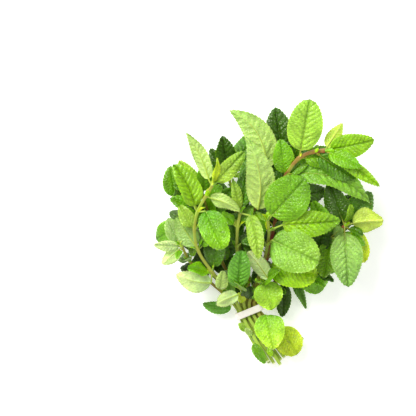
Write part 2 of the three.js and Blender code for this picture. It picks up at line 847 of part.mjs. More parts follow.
const bunch = new THREE.Group();
const curves = SPRIGS.map(stemCurve);
const leaves = growLeaves(curves);
const floor = ground();
SPRIGS.forEach((sprig, i) => bunch.add(sprigMesh(sprig, curves[i], leaves[i], floor)));
bunch.add(bandMesh());

export default bunch;
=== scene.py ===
# %% [markdown]
# # A tied bunch of fresh mint
#
# The bunch lies on a pale surface and is seen from straight above. Thirteen leafy stems are held at the
# neck by a flat band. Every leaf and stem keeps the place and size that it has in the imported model, and gets
# here what makes it a mint leaf: a toothed edge, sunken veins with the blade puffed up between them, a
# paler underside, a ribbed stalk, and a square stem. Lengths are worked out in millimetres, and become
# metres where a mesh is made.

# %% Open the frame
import math

import bpy
import numpy as np
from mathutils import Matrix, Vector
from mathutils.bvhtree import BVHTree


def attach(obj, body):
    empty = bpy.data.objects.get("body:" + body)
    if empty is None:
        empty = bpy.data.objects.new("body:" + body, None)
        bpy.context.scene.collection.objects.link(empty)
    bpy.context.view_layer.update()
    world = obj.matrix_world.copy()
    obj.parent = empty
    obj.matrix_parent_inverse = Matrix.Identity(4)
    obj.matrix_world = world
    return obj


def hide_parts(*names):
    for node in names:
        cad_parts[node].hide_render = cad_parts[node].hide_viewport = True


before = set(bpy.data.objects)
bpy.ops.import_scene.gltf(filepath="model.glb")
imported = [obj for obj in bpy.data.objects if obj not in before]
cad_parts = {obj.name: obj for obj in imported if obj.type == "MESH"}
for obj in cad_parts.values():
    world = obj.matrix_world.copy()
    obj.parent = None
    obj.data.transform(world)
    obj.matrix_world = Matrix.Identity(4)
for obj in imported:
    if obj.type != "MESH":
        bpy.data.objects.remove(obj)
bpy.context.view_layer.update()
MM = 0.001

# %% [markdown]
# ## Camera, floor and light
#
# The view is straight down. The camera stands far off with a long lens, so that high and low leaves keep
# nearly the same scale, and its field is the photograph's square: one pixel is 0.8 mm of bunch. The floor
# is plain white, and glows a little, so that it stays white without more light on the leaves. A bright
# sky-like world lights every side, and two broad lamps give the leaves their highlights, as a softbox does.
# Small lamps would be quicker to place, but would draw hard shadows that the bunch doesn't have.

# %% Camera
PHOTO_PIXELS = 416
MM_PER_PIXEL = 0.8
ORIGIN_PIXEL = (250, 313)  # where the middle of the band shows
MIDDLE_PIXEL = PHOTO_PIXELS / 2
VIEW_HEIGHT = 2.0
LEAF_HEIGHT = 0.040
SENSOR_WIDTH = 36.0

scene = bpy.context.scene
view_width = PHOTO_PIXELS * MM_PER_PIXEL * MM
camera_data = bpy.data.cameras.new("camera")
camera_data.sensor_width = SENSOR_WIDTH
camera_data.lens = SENSOR_WIDTH * VIEW_HEIGHT / view_width
camera_data.clip_end = 10.0
camera = bpy.data.objects.new("camera", camera_data)
camera.location = (
    (MIDDLE_PIXEL - ORIGIN_PIXEL[0]) * MM_PER_PIXEL * MM,
    (ORIGIN_PIXEL[1] - MIDDLE_PIXEL) * MM_PER_PIXEL * MM,
    LEAF_HEIGHT + VIEW_HEIGHT,
)
scene.collection.objects.link(camera)
scene.camera = camera
print("field of view in mm:", round(view_width / MM, 1))


# %% Colours and nodes
def linear(code):
    """An sRGB hex colour as the linear colour that a shader works in."""
    parts = [int(code[i : i + 2], 16) / 255 for i in (1, 3, 5)]
    return [p / 12.92 if p <= 0.04045 else ((p + 0.055) / 1.055) ** 2.4 for p in parts]


def add_node(tree, kind, settings=None, values=None, links=None):
    """A node with its settings, the values of its inputs, and the sockets that feed it."""
    node = tree.nodes.new(kind)
    for name, value in (settings or {}).items():
        setattr(node, name, value)
    for name, value in (values or {}).items():
        node.inputs[name].default_value = value
    for name, socket in (links or {}).items():
        tree.links.new(socket, node.inputs[name])
    return node


def new_finish(name, values):
    """A material, its node tree and its shader, with the values of the shader's own inputs."""
    finish = bpy.data.materials.new(name)
    finish.use_nodes = True
    shader = finish.node_tree.nodes["Principled BSDF"]
    for socket, value in values.items():
        shader.inputs[socket].default_value = value
    return finish, finish.node_tree, shader


print("middle grey as linear light:", round(linear("#808080")[0], 3))

# %% Floor
FLOOR_HALF = 3.0
FLOOR_GLOW = 0.36

floor_mesh = bpy.data.meshes.new("floor")
corners = [(x * FLOOR_HALF, y * FLOOR_HALF, 0) for x, y in ((-1, -1), (1, -1), (1, 1), (-1, 1))]
floor_mesh.from_pydata(corners, [], [(0, 1, 2, 3)])
floor = bpy.data.objects.new("floor", floor_mesh)
scene.collection.objects.link(floor)
# Matt white paper: it scatters light evenly and has no highlight of its own.
floor_paper = new_finish("white_paper_floor", {
    "Base Color": (*linear("#FCFCFA"), 1), "Roughness": 0.9,
    "Emission Color": (1, 1, 1, 1), "Emission Strength": FLOOR_GLOW,
})[0]
floor_mesh.materials.append(floor_paper)
print("floor, m across:", 2 * FLOOR_HALF)

# %% World and lamps
WORLD_STRENGTH = 0.56
AIM = Vector((0.01, 0.06, 0.03))
LAMPS = {  # place and width in metres, power in watts
    "key_from_upper_left": ((-0.8, 0.9, 1.3), 1.1, 34.0),
    "fill_from_right": ((1.3, -0.2, 1.2), 1.4, 6.0),
}

world = bpy.data.worlds.new("white_studio")
world.use_nodes = True
sky = world.node_tree.nodes["Background"]
sky.inputs["Color"].default_value = (*linear("#FFFFFF"), 1)
sky.inputs["Strength"].default_value = WORLD_STRENGTH
scene.world = world

for name, (place, width, power) in LAMPS.items():
    lamp_data = bpy.data.lights.new(name, "AREA")
    lamp_data.shape = "DISK"
    lamp_data.size = width
    lamp_data.energy = power
    lamp = bpy.data.objects.new(name, lamp_data)
    lamp.location = place
    lamp.rotation_euler = (AIM - lamp.location).to_track_quat("-Z", "Y").to_euler()
    scene.collection.objects.link(lamp)

scene.view_settings.view_transform = "Standard"
print("lamps:", len(LAMPS))

# %% [markdown]
# ## Where every leaf grows
#
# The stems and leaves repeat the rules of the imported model, in millimetres. Each stem has its place in the
# neck and a few points that it grows through. The leaves that can be told apart in the bunch were placed
# one by one: where the blade starts and ends, its width, and the way it faces. The rest grow by rule, as
# mint does: in opposite pairs, each pair turned a quarter from the one below, with a small leaf in the
# axil. A leaf that would touch another leans, turns or shrinks until it is clear. Leaves scattered at random
# would be quicker to write, but they would pass through each other and never look grown.

# %% The neck, in millimetres
STEM_HALF_SIDE = 1.35
STEM_TIP_SHARE = 0.75
ROW_HEIGHTS = {"back": 3.5, "middle": 7.3, "front": 11.1}
BAND_TILT = math.radians(23)
ACROSS = np.array([math.cos(BAND_TILT), math.sin(BAND_TILT), 0])
DOWN = np.array([math.sin(BAND_TILT), -math.cos(BAND_TILT), 0])
CUT_TILT = math.radians(33)
TO_CUT = np.array([math.sin(CUT_TILT), -math.cos(CUT_TILT), 0])
STRAIGHT_HALF_LENGTH = 5.5
CUT_LENGTH, CUT_LENGTH_SPREAD = 46, 6
SPLAY_LEFT, SPLAY_RIGHT, SPLAY_UP = 1.5, 1.75, 1.2
BAND_WIDTH, BAND_THICKNESS, BAND_HALF_SPAN, BAND_HEIGHT = 6.4, 0.9, 10.9, 13.3
print("neck, mm:", 2 * BAND_HALF_SPAN, "wide and", BAND_HEIGHT, "high")

# %% The stems and the leaves placed one by one
PLAIN_POINT, ROUND_POINT, LONG_POINT = 0.75, 0.58, 0.95
PLAIN_FOLD, PLAIN_BEND = 0.12, 0.05
UP, UNDER = (0, 0, 1), (0, 0, -1)


def placed(
    at, tip, width, face, tone,
    stalk=None, fold=PLAIN_FOLD, bend=PLAIN_BEND, curve=0, point=PLAIN_POINT, glow=None,
):
    """A leaf at a point of its stem, with the tip of its blade, its width, the way it faces and its tone.

    stalk is where the blade starts, fold lifts its two halves, bend arches it, curve turns it sideways,
    point shapes its tip, and glow makes it paler, or with a minus darker, towards its tip.
    """
    return dict(
        at=at, tip=tip, width=width, face=face, tone=tone, stalk=stalk,
        fold=fold, bend=bend, curve=curve, point=point, glow=glow,
    )


# across: place in the neck; leaf: length of a full leaf; red: how flushed the stem is; stout: thicker
# towards the tip; cut: where the stem ends below the tie, if it shows; route: points that it grows through.
SPRIGS = [
    dict(
        name="front_left", row="front", across=-6.3, leaf=30, red=0.35,
        route=[
            (-17.6, 18.4, 20), (-30.4, 32.8, 31), (-41.6, 50.4, 42), (-44.4, 66.4, 49),
            (-42, 80.8, 53), (-35.2, 93.6, 56), (-30.4, 101.6, 58),
        ],
        leaves=[
            placed(7, (-21.6, 51.2, 61), 22.5, (0.1, 0.1, 1), "bright", stalk=(-35.5, 81.5, 57),
                   point=ROUND_POINT, glow=0.9),
            placed(7, (-61.6, 118.4, 60), 18, (0.4, 0.1, 1), "cluster", fold=0.4, curve=0.05,
                   glow=-0.3),
            placed(9, (-51.2, 144, 62), 12, (0.2, 0.1, -1), "pale", point=LONG_POINT, curve=-0.04),
            placed(9, (-26.4, 124, 66), 8, (0.8, 0, 0.7), "yellow", fold=0.3, point=LONG_POINT),
            placed(9, (-4.8, 128.8, 57), 14, (0, -0.3, 1), "soft", glow=-0.5),
            placed(8, (-8, 81.6, 53), 12, (0, 0.5, -1), "pale", bend=-0.15, curve=0.12, point=LONG_POINT),
            placed(6, (-56, 86.4, 51), 12, (-0.2, 0, 1), "soft"),
            placed(5, (-59.2, 76.8, 44), 17, UNDER, "grey"),
            placed(4, (-59, 31, 34), 18, (0, 0.2, -1), "white", stalk=(-31, 24, 31), bend=-0.08, curve=0.06),
            placed(3, (-21.5, 34, 36), 10, (0.1, 0, 1), "pale", stalk=(-23.5, 18.5, 29)),
            placed(0.45, (12.5, -42, 16), 8, UP, "middle", stalk=(3, -26, 15)),
        ],
    ),
    dict(
        name="front_centre", row="front", across=-2.1, leaf=28, red=0.3, cut=(25.5, -43.5),
        route=[(-5.6, 16.8, 21), (-8.8, 36, 32), (-10.4, 52, 38), (-10, 68, 43), (-8, 80, 46)],
        leaves=[
            placed(3, (-7.2, 50.4, 47), 17.6, (0, -0.15, 1), "blue", stalk=(-10, 20.5, 31),
                   point=ROUND_POINT, glow=-0.3),
            placed(3, (-27.2, 7, 23), 12, (0, 0.2, -1), "white", stalk=(-9.6, 14.5, 24)),
            placed(7, (6, 43, 58), 14, (-0.4, -0.2, 1), "soft", stalk=(-0.5, 78, 51), curve=-0.08),
            placed(7, (-14.4, 108, 53), 9, (0.4, 0, 1), "soft", point=LONG_POINT),
            placed(7, (0, 120, 41), 14, (-0.2, 0, 1), "deep"),
        ],
    ),
    dict(
        name="front_right", row="front", across=2.1, leaf=34, red=0.4,
        route=[(4, 16.8, 18), (10, 36, 26), (14, 54.4, 37), (15, 66, 45), (14, 74, 51)],
        leaves=[
            placed(5, (54.4, 40.8, 60), 34, (0.05, -0.1, 1), "silver", stalk=(17.6, 58.4, 48), bend=0.08,
                   point=ROUND_POINT, glow=0.4),
            placed(4, (54, 30, 44), 27, (0, -0.2, 1), "sunny", stalk=(17, 38, 30),
                   point=ROUND_POINT, glow=0.5),
            placed(7, (43, 107, 64), 34, (0.1, 0.05, 1), "middle", stalk=(17, 78, 58), bend=0.06,
                   point=ROUND_POINT, glow=-0.3),
            placed(6, (72, 74, 56), 21, (0, -0.2, 1), "cluster", stalk=(25.6, 70.4, 55), glow=-0.4),
            placed(6, (-1, 70, 60), 14, UP, "bright"),
            placed(0.9, (19.5, -29.6, 19), 24, (0.05, 0, 1), "low", stalk=(13.6, -2.5, 17), glow=0.9),
        ],
    ),
    dict(
        name="front_low", row="front", across=6.3, leaf=24, red=0.7,
        route=[(8, 12, 19), (9, 22, 25)],
        leaves=[
            placed(4, (18, 2, 30), 23, (0.05, -0.1, 1), "low", stalk=(12.5, 24.5, 30), glow=0.4),
            placed(4, (-1.6, 49.6, 44), 13, (0.2, 0.2, -1), "white", stalk=(15, 27, 34), fold=0.25),
            placed(0.7, (38.5, -35, 11), 22, (0.1, 0, 1), "yellow", stalk=(25, -13.6, 12),
                   point=ROUND_POINT),
        ],
    ),
    dict(
        name="left", row="middle", across=-8.4, leaf=26, red=0.6,
        route=[(-19.2, 12.8, 13), (-35.2, 27.2, 21), (-48, 40.8, 29), (-54.4, 52.8, 36)],
        leaves=[
            placed(6, (-77, 54.5, 42), 9, (0, -0.2, 1), "white"),
            placed(6, (-70.4, 39, 38), 11, (0.2, 0, -1), "white", fold=0.3),
            placed(6, (-66, 76, 42), 14, (-0.2, 0, 1), "grey"),
            placed(2.6, (-38, 6.5, 10), 10, UP, "crescent", stalk=(-15, 3.5, 10), curve=-0.08),
        ],
    ),
    dict(
        name="tall_left", row="middle", across=-4.2, leaf=34, red=0.7,
        route=[(-11.2, 20, 12), (-22.4, 40.8, 19), (-29, 60, 25), (-33, 78, 30), (-38, 94, 34)],
        leaves=[
            placed(7, (-57, 122, 44), 13, (0.1, 0, 1), "soft"),
            placed(7, (-36, 124, 44), 13, (0.3, 0, 1), "middle"),
            placed(4, (-19, 54, 31), 9, (0.2, 0, 1), "middle"),
            placed(6, (-64, 92, 38), 15, (0, 0.3, 1), "middle"),
            placed(6, (-14, 100, 36), 15, UP, "middle"),
        ],
    ),
    dict(
        name="tall_centre", row="middle", across=0, leaf=36, red=0.6,
        route=[(-0.8, 22.4, 14), (0, 46.4, 22), (2.4, 70.4, 29), (5.6, 92, 35), (9.6, 112.8, 39)],
        leaves=[
            placed(6, (-3.5, 140, 66), 23, (0.1, -0.1, -1), "tall", stalk=(6, 83, 47), bend=-0.06, curve=-0.1,
                   point=LONG_POINT),
            placed(7, (-16.8, 161.6, 54), 23, (-0.1, 0.1, -1), "tall", stalk=(13, 116, 44), bend=-0.02,
                   curve=-0.16, point=LONG_POINT, glow=-0.3),
            placed(7, (4, 140, 42), 13, UP, "dark"),
            placed(7, (42, 115, 38), 16, UP, "deep"),
        ],
    ),
    dict(
        name="upper_right", row="middle", across=4.2, leaf=34, red=1, stout=1.3,
        route=[
            (6.4, 20, 15), (13.6, 44, 24), (19.2, 68, 33), (23.2, 90.4, 40),
            (28, 108.8, 46), (39.2, 124, 50), (50.4, 128.8, 52), (59.2, 129.6, 53),
        ],
        leaves=[
            placed(8, (46.8, 170, 66), 27.5, (0, -0.15, 1), "light", stalk=(40, 130, 55),
                   point=ROUND_POINT, glow=-0.2),
            placed(7, (97, 87, 37), 22, (0.3, 0.5, 0.9), "arch", stalk=(38, 112, 43), bend=0.14, curve=-0.06,
                   point=LONG_POINT, glow=0.3),
            placed(10, (73, 151.2, 60), 12, (0.2, 0, -1), "gold", point=LONG_POINT),
            placed(10, (98.4, 138, 58), 20, (0, -0.3, 1), "cluster", glow=0.3),
            placed(10, (87, 116, 60), 13.6, (0, 0.3, 1), "bright"),
            placed(10, (103.2, 101, 50), 11, (0.2, 0.3, 1), "cluster", glow=0.6),
            placed(7, (24, 139, 50), 17, (0.2, 0, 1), "bright"),
            placed(6, (62, 98, 36), 20, (0, -0.2, 1), "dark"),
            placed(8, (74, 126, 42), 17, UP, "middle"),
            placed(9, (84, 107, 41), 18, UP, "deep"),
        ],
    ),
    dict(
        name="right", row="middle", across=8.4, leaf=32, red=0.9, cut=(44, -23),
        route=[(12.5, 17, 11), (30.5, 30.5, 18), (49.6, 45.6, 26), (64.8, 60, 31), (76, 69.6, 35)],
        leaves=[
            placed(7, (78.4, 20.8, 38), 25.6, (0.1, 0, 1), "mist", stalk=(75.6, 64, 40), glow=-0.3),
            placed(7, (106.4, 73.5, 44), 21, (0.1, 0.5, -1), "gold", stalk=(82, 72, 39), fold=0.25),
            placed(7, (93, 40, 28), 17, (0.3, 0, 1), "yellow", stalk=(82, 64.8, 33)),
            placed(7, (98, 97, 32), 21, UP, "deep"),
            placed(6, (83, 95, 22), 20, UP, "dark"),
            placed(7, (63, 104, 34), 19, (-0.2, 0, 1), "dark"),
            placed(6, (50, 90, 40), 16, (-0.1, 0, 1), "bright"),
            placed(6, (59, 28, 27), 18, UP, "cluster"),
            placed(5, (64, 76, 36), 19, UP, "dark", stalk=(52, 50, 29)),
        ],
    ),
    dict(
        name="back_left", row="back", across=-6.3, leaf=32, red=0.3,
        route=[(-14.4, 13.6, 5), (-30.4, 30.4, 8), (-43.2, 50.4, 11), (-52.8, 71.2, 14), (-59.2, 90.4, 17)],
        leaves=[
            placed(6, (-76, 58, 0.2), 19, (-0.3, 0, 1), "middle", bend=0.1),
            placed(7, (-64, 118, 22), 17, UP, "middle"),
            placed(5, (-38, 20, 1), 15, UP, "dark", stalk=(-42, 45, 4), bend=0),
            placed(4, (-12, 45, 2), 16, UP, "dark", stalk=(-29, 34, 3), bend=0),
        ],
    ),
    dict(
        name="back_centre", row="back", across=-2.1, leaf=34, red=0.4,
        route=[(-3.2, 20.8, 5), (-6.4, 44, 9), (-9.6, 68, 13), (-12.8, 90.4, 17), (-16.8, 109.6, 21)],
        leaves=[
            placed(7, (-22.4, 142, 34), 17, (0.2, 0, 1), "dark"),
            placed(7, (-32, 132, 27), 12, (-0.2, 0, 1), "dark"),
            placed(7, (8, 145, 0.2), 19, (0, 0.4, 1), "deep", bend=0.14),
            placed(6, (-22, 74, 10), 14, UP, "dark"),
        ],
    ),
    dict(
        name="back_upper_right", row="back", across=2.1, leaf=36, red=0.5,
        route=[(3, 18.4, 7), (15, 44, 11), (24.8, 70.4, 16), (29.6, 94.4, 21), (29.6, 114.4, 25)],
        leaves=[
            placed(7, (20.5, 165, 46), 26, (0, -0.2, 1), "dark", stalk=(27.2, 119, 30), glow=-0.3),
            placed(7, (50, 135, 22), 16, UP, "middle", bend=0.1),
            placed(4, (4, 15, 0.5), 11, UP, "dark", stalk=(10, 38, 3), bend=0),
            placed(5, (11, 85, 8), 19, UP, "dark"),
            placed(5, (13, 52, 7), 13, UP, "dark"),
        ],
    ),
    dict(
        name="back_right", row="back", across=6.3, leaf=28, red=0.3,
        route=[(10, 14.5, 4.5), (21, 24, 8), (34, 29.5, 11), (48, 32.8, 12)],
        leaves=[
            placed(6, (57, 15, 6), 22, (0, -0.2, 1), "bright", stalk=(50, 31, 13)),
            placed(5, (46.4, 1.6, 4), 8, (0.5, 0, 1), "deep", point=LONG_POINT, glow=0.8),
            placed(4, (27, -5, 3), 13, UP, "dark", stalk=(28, 22, 4)),
            placed(6, (84, 50, 0.2), 20, (0.1, 0, 1), "middle", bend=0.1, fold=0.05),
        ],
    ),
]
print("stems:", len(SPRIGS), "leaves placed one by one:", sum(len(sprig["leaves"]) for sprig in SPRIGS))


# %% The line of a stem
def chance(a, b, c):
    """The same number from 0 to 1, as if drawn, for the same three whole numbers. The last tells its use."""
    mixed = math.sin(a * 12.9898 + b * 78.233 + c * 37.719) * 43758.5453
    return mixed - math.floor(mixed)


def unit(v):
    """Vectors of the same direction with a length of one."""
    return v / np.sqrt((v * v).sum(-1, keepdims=True))


def stem_points(sprig, number):
    """The cut end, two points that carry the stem straight through the band, and its route."""
    height = ROW_HEIGHTS[sprig["row"]]
    neck = ACROSS * sprig["across"] + np.array([0, 0, height])
    splay = SPLAY_RIGHT if sprig["across"] > 0 else SPLAY_LEFT
    length = CUT_LENGTH + CUT_LENGTH_SPREAD * (chance(number, 1, 0) - 0.5)
    cut = ACROSS * sprig["across"] * splay + TO_CUT * length
    if "cut" in sprig:
        cut[:2] = sprig["cut"]
    cut[2] = ROW_HEIGHTS["middle"] + (height - ROW_HEIGHTS["middle"]) * SPLAY_UP
    straight = DOWN * STRAIGHT_HALF_LENGTH
    return np.array([cut, neck + straight, neck - straight, *map(np.array, sprig["route"])])


def curve_point(points, t):
    """A point of the centripetal Catmull-Rom curve through the points, with t from 0 to 1."""
    last = len(points) - 1
    place = last * t
    start = min(int(math.floor(place)), last - 1)
    weight = place - start
    before = points[start - 1] if start > 0 else 2 * points[0] - points[1]
    after = points[start + 2] if start + 2 <= last else 2 * points[last] - points[last - 1]
    p0, p1, p2, p3 = before, points[start], points[start + 1], after
    d0, d1, d2 = [((b - a) ** 2).sum() ** 0.25 for a, b in ((p0, p1), (p1, p2), (p2, p3))]
    leave = ((p1 - p0) / d0 - (p2 - p0) / (d0 + d1) + (p2 - p1) / d1) * d1
    arrive = ((p2 - p1) / d1 - (p3 - p1) / (d1 + d2) + (p3 - p2) / d2) * d1
    square = -3 * p1 + 3 * p2 - 2 * leave - arrive
    cube = 2 * p1 - 2 * p2 + leave + arrive
    return p1 + leave * weight + square * weight**2 + cube * weight**3


def curve_forward(points, t):
    """The direction of the curve at t."""
    step = 0.0001
    return unit(curve_point(points, min(t + step, 1)) - curve_point(points, max(t - step, 0)))


stems = [stem_points(sprig, number) for number, sprig in enumerate(SPRIGS)]
print("points of each stem:", [len(points) for points in stems])


# %% The shape of a blade
BASE_POWER = 0.5
STALK_HALF_WIDTH = 0.75
WAVE_HEIGHT, WAVES = 0.05, 1.5


def framed(leaf):
    """Add a leaf's own directions, from where its blade starts and ends and which way it faces."""
    along = leaf["tip"] - leaf["stalk"]
    length = math.sqrt((along * along).sum())
    along = along / length
    up = unit(leaf["face"] - along * (leaf["face"] * along).sum())
    return dict(leaf, along=along, length=length, up=up, side=np.cross(along, up))


def outline(share, point):
    """Half the width of a blade, from 0 at its two ends to 1 where it is widest."""
    widest = BASE_POWER / (BASE_POWER + point)
    most = widest**BASE_POWER * (1 - widest) ** point
    return share**BASE_POWER * (1 - share) ** point / most


def blade_points(leaf, share, across, least=STALK_HALF_WIDTH):
    """Points of the blade's middle surface: share runs from base to tip, and across from -1 to 1."""
    half = np.maximum(leaf["width"] / 2 * outline(share, leaf["point"]), least)
    arch = leaf["length"] * 4 * share * (1 - share)
    slope = 4 * (1 - 2 * share)[..., None] * leaf["along"]
    up = unit(leaf["up"] - leaf["bend"] * slope)
    side = unit(leaf["side"] - leaf["curve"] * slope)
    wave = WAVE_HEIGHT * leaf["width"] * np.sin(2 * math.pi * WAVES * share + leaf["phase"] + across)
    lift = half * leaf["fold"] * np.abs(across) + wave * across * across
    middle = leaf["stalk"] + leaf["along"] * (leaf["length"] * share)[..., None]
    middle = middle + leaf["up"] * (leaf["bend"] * arch)[..., None]
    middle = middle + leaf["side"] * (leaf["curve"] * arch)[..., None]
    return middle + side * (half * across)[..., None] + up * lift[..., None]


print("a plain blade is widest at a share of", round(BASE_POWER / (BASE_POWER + PLAIN_POINT), 2))

# %% Keeping leaves apart
SAMPLE_ROWS, SAMPLE_HALF_COLUMNS, INNER_ROWS = 14, 4, 4
SAMPLE_COLUMNS = np.arange(-SAMPLE_HALF_COLUMNS, SAMPLE_HALF_COLUMNS + 1) / SAMPLE_HALF_COLUMNS
SAMPLE_SHARE = np.repeat(np.arange(SAMPLE_ROWS) / (SAMPLE_ROWS - 1), len(SAMPLE_COLUMNS))
SAMPLE_ACROSS = np.tile(SAMPLE_COLUMNS, SAMPLE_ROWS)
STALK_SAMPLES_APART = 2
CLEARANCE, STEM_CLEARANCE, SAME_STEM_CLEARANCE = 3, 3.4, 2


def cloud(points, owner, gap, joins_stem=False, outer=None):
    """Points with the number of the sprig that they belong to and the gap that they keep."""
    centre = (points.min(0) + points.max(0)) / 2
    reach = np.sqrt(((points - centre) ** 2).sum(1)).max()
    return dict(
        points=points, centre=centre, reach=reach, owner=owner, gap=gap, joins_stem=joins_stem, outer=outer,
    )


def leaf_clouds(leaf, owner):
    """The points of a leaf's blade and those of its stalk."""
    points = blade_points(leaf, SAMPLE_SHARE, SAMPLE_ACROSS)
    outer = points[INNER_ROWS * len(SAMPLE_COLUMNS) :]
    reach = leaf["stalk"] - leaf["root"]
    count = math.ceil(math.sqrt((reach * reach).sum()) / STALK_SAMPLES_APART)
    stalk = leaf["root"] + reach * (np.arange(count + 1) / count)[:, None]
    return [cloud(points, owner, CLEARANCE, outer=outer), cloud(stalk, owner, CLEARANCE, joins_stem=True)]


def apart(made, other):
    """True if two clouds keep their gap. A stem and the stalks of its own leaves may meet."""
    same = made["owner"] == other["owner"]
    if same and (made["joins_stem"] or other["joins_stem"]):
        return True
    gap = SAME_STEM_CLEARANCE if same else max(made["gap"], other["gap"])
    if math.dist(made["centre"], other["centre"]) > made["reach"] + other["reach"] + gap:
        return True
    pick = "outer" if same else "points"
    return ((made[pick][:, None] - other[pick][None]) ** 2).sum(-1).min() > gap * gap


def is_clear(made, others):
    """True if none of a leaf's clouds comes too near another."""
    return all(apart(own, other) for own in made for other in others)


print("points that stand for a blade:", len(SAMPLE_SHARE))

# %% The room that the bunch has
FAN_OUTLINE = [
    (-11, 10), (-54, 28), (-67, 60), (-64, 100), (-54, 130), (-28, 130), (-12, 150), (20, 164),
    (46, 168), (62, 152), (94, 130), (99, 90), (92, 44), (70, 24), (28, 2), (10, 6),
]
FAN_LOW, FAN_HIGH = 0.8, 48


def inside_fan(points):
    """True if every point is inside the outline, by its crossings, and between the two heights."""
    if points[:, 2].min() < FAN_LOW or points[:, 2].max() > FAN_HIGH:
        return False
    x, y = points[:, 0], points[:, 1]
    crossings = np.zeros(len(points), int)
    for (x0, y0), (x1, y1) in zip(FAN_OUTLINE, FAN_OUTLINE[1:] + FAN_OUTLINE[:1]):
        spans = (y0 > y) != (y1 > y)
        if spans.any():
            crossings += spans & (x < x0 + (y - y0) / (y1 - y0) * (x1 - x0))
    return bool((crossings % 2 == 1).all())


print("corners of the bunch's outline:", len(FAN_OUTLINE))

# %% A leaf placed one by one
STALK_SHARE = 0.12
DEEPEST = -1.5
LIFT_TRIES = [0, 3, -3, 6, -6, 9, -9, 12, -12, 16, -16]
BASE_LIFT_SHARE = 1 / 3


def place_leaf(spec, number, order, points, others):
    """A listed leaf: its tip goes up or down until the leaf is clear of the others."""
    root = curve_point(points, spec["at"] / (len(points) - 1))
    tip = np.array(spec["tip"], float)
    stalk = np.array(spec["stalk"], float) if spec["stalk"] else root + (tip - root) * STALK_SHARE
    for lift in LIFT_TRIES:
        rise = np.array([0, 0, lift])
        leaf = framed(dict(
            root=root, stalk=stalk + rise * BASE_LIFT_SHARE, tip=tip + rise,
            face=unit(np.array(spec["face"], float)), width=spec["width"], fold=spec["fold"],
            bend=spec["bend"], curve=spec["curve"], point=spec["point"],
            phase=6 * chance(number, order, 2), tone=spec["tone"], glow=spec["glow"],
        ))
        made = leaf_clouds(leaf, number)
        if made[0]["points"][:, 2].min() > DEEPEST and is_clear(made, others):
            return leaf, made
    return None


print("heights tried for a leaf placed by hand:", len(LIFT_TRIES))

# %% A leaf that grows by rule
GROWN_STALK, GROWN_FOLD, GROWN_WANDER, GROWN_SKYWARD, GROWN_TIP_SHRINK = 4.5, 0.15, 30, 0.8, 0.35
GROWN_WIDTH, GROWN_WIDTH_SPREAD, GROWN_BEND, GROWN_BEND_SPREAD = 0.5, 0.16, 0.04, 0.08
FIRST_JOINT, AXIL_LEAF, AXIL_SIZE = 3, 2, 0.6
LEAN_TRIES = [52, 66, 38, 80, 95]
TURN_TRIES = [0, 24, -24, 48, -48]
SIZE_TRIES = [1, 0.8, 0.62]


def grow_leaf(sprig, number, node, which, points, others):
    """A leaf at a joint: it leans, turns away from the stem or shrinks until it is clear."""
    last = len(points) - 1
    root = curve_point(points, node / last)
    forward = curve_forward(points, node / last)
    flat = unit(np.array([forward[1], -forward[0], 0]))
    steep = np.cross(flat, forward)
    near_tip = max(0, node - FIRST_JOINT - 1) / max(1, last - FIRST_JOINT - 1)
    full = sprig["leaf"] * (1 - GROWN_TIP_SHRINK * near_tip)
    quarter = (node + (1 if which == AXIL_LEAF else 0)) % 2
    start = 90 * quarter + 180 * which + GROWN_WANDER * chance(number, node, 3)
    for size in [AXIL_SIZE] if which == AXIL_LEAF else SIZE_TRIES:
        for turned in TURN_TRIES:
            for lean in LEAN_TRIES:
                turn, angle = math.radians(start + turned), math.radians(lean)
                out = flat * math.cos(turn) + steep * math.sin(turn)
                heading = forward * math.cos(angle) + out * math.sin(angle)
                length = full * size
                leaf = framed(dict(
                    root=root, stalk=root + heading * GROWN_STALK,
                    tip=root + heading * (GROWN_STALK + length),
                    face=unit(forward + np.array([0, 0, GROWN_SKYWARD])), fold=GROWN_FOLD,
                    width=length * (GROWN_WIDTH + GROWN_WIDTH_SPREAD * chance(number, node, 4 + which)),
                    bend=GROWN_BEND + GROWN_BEND_SPREAD * chance(number, node, 6 + which),
                    phase=6 * chance(number, node, 8 + which), curve=0, point=PLAIN_POINT,
                    tone=None, glow=None,
                ))
                made = leaf_clouds(leaf, number)
                if inside_fan(made[0]["points"]) and is_clear(made, others):
                    return leaf, made
    return None


print("ways tried for a leaf grown by rule:", len(LEAN_TRIES) * len(TURN_TRIES) * len(SIZE_TRIES))

# %% Grow the bunch
STEM_SAMPLES, BAND_SAMPLES = 90, 40


def grow_bunch(stems):
    """Every leaf of every sprig: those placed one by one first, then pairs by rule at the joints."""
    others = []
    for number, points in enumerate(stems):
        samples = np.array([curve_point(points, i / STEM_SAMPLES) for i in range(STEM_SAMPLES + 1)])
        others.append(cloud(samples, number, STEM_CLEARANCE, joins_stem=True))
    turns = 2 * np.pi * np.repeat(np.arange(BAND_SAMPLES), 3) / BAND_SAMPLES
    shifts = np.tile([-0.5, 0, 0.5], BAND_SAMPLES) * BAND_WIDTH
    ring = ACROSS * (BAND_HALF_SPAN * np.cos(turns))[:, None] + DOWN * shifts[:, None]
    ring[:, 2] = BAND_HEIGHT / 2 + BAND_HEIGHT / 2 * np.sin(turns)
    others.append(cloud(ring, -1, CLEARANCE))
    leaves = [[] for _ in stems]

    def keep(number, found):
        if found:
            leaves[number].append(found[0])
            others.extend(found[1])

    for number, sprig in enumerate(SPRIGS):
        for order, spec in enumerate(sprig["leaves"]):
            found = place_leaf(spec, number, order, stems[number], others)
            if not found:
                print("no room for a leaf of", sprig["name"], "at", spec["tip"])
            keep(number, found)
    for which in (0, 1, AXIL_LEAF):
        for number, sprig in enumerate(SPRIGS):
            lowest = FIRST_JOINT if which == 0 else FIRST_JOINT + 1
            for node in range(len(stems[number]) - 1, lowest - 1, -1):
                keep(number, grow_leaf(sprig, number, node, which, stems[number], others))
    return leaves


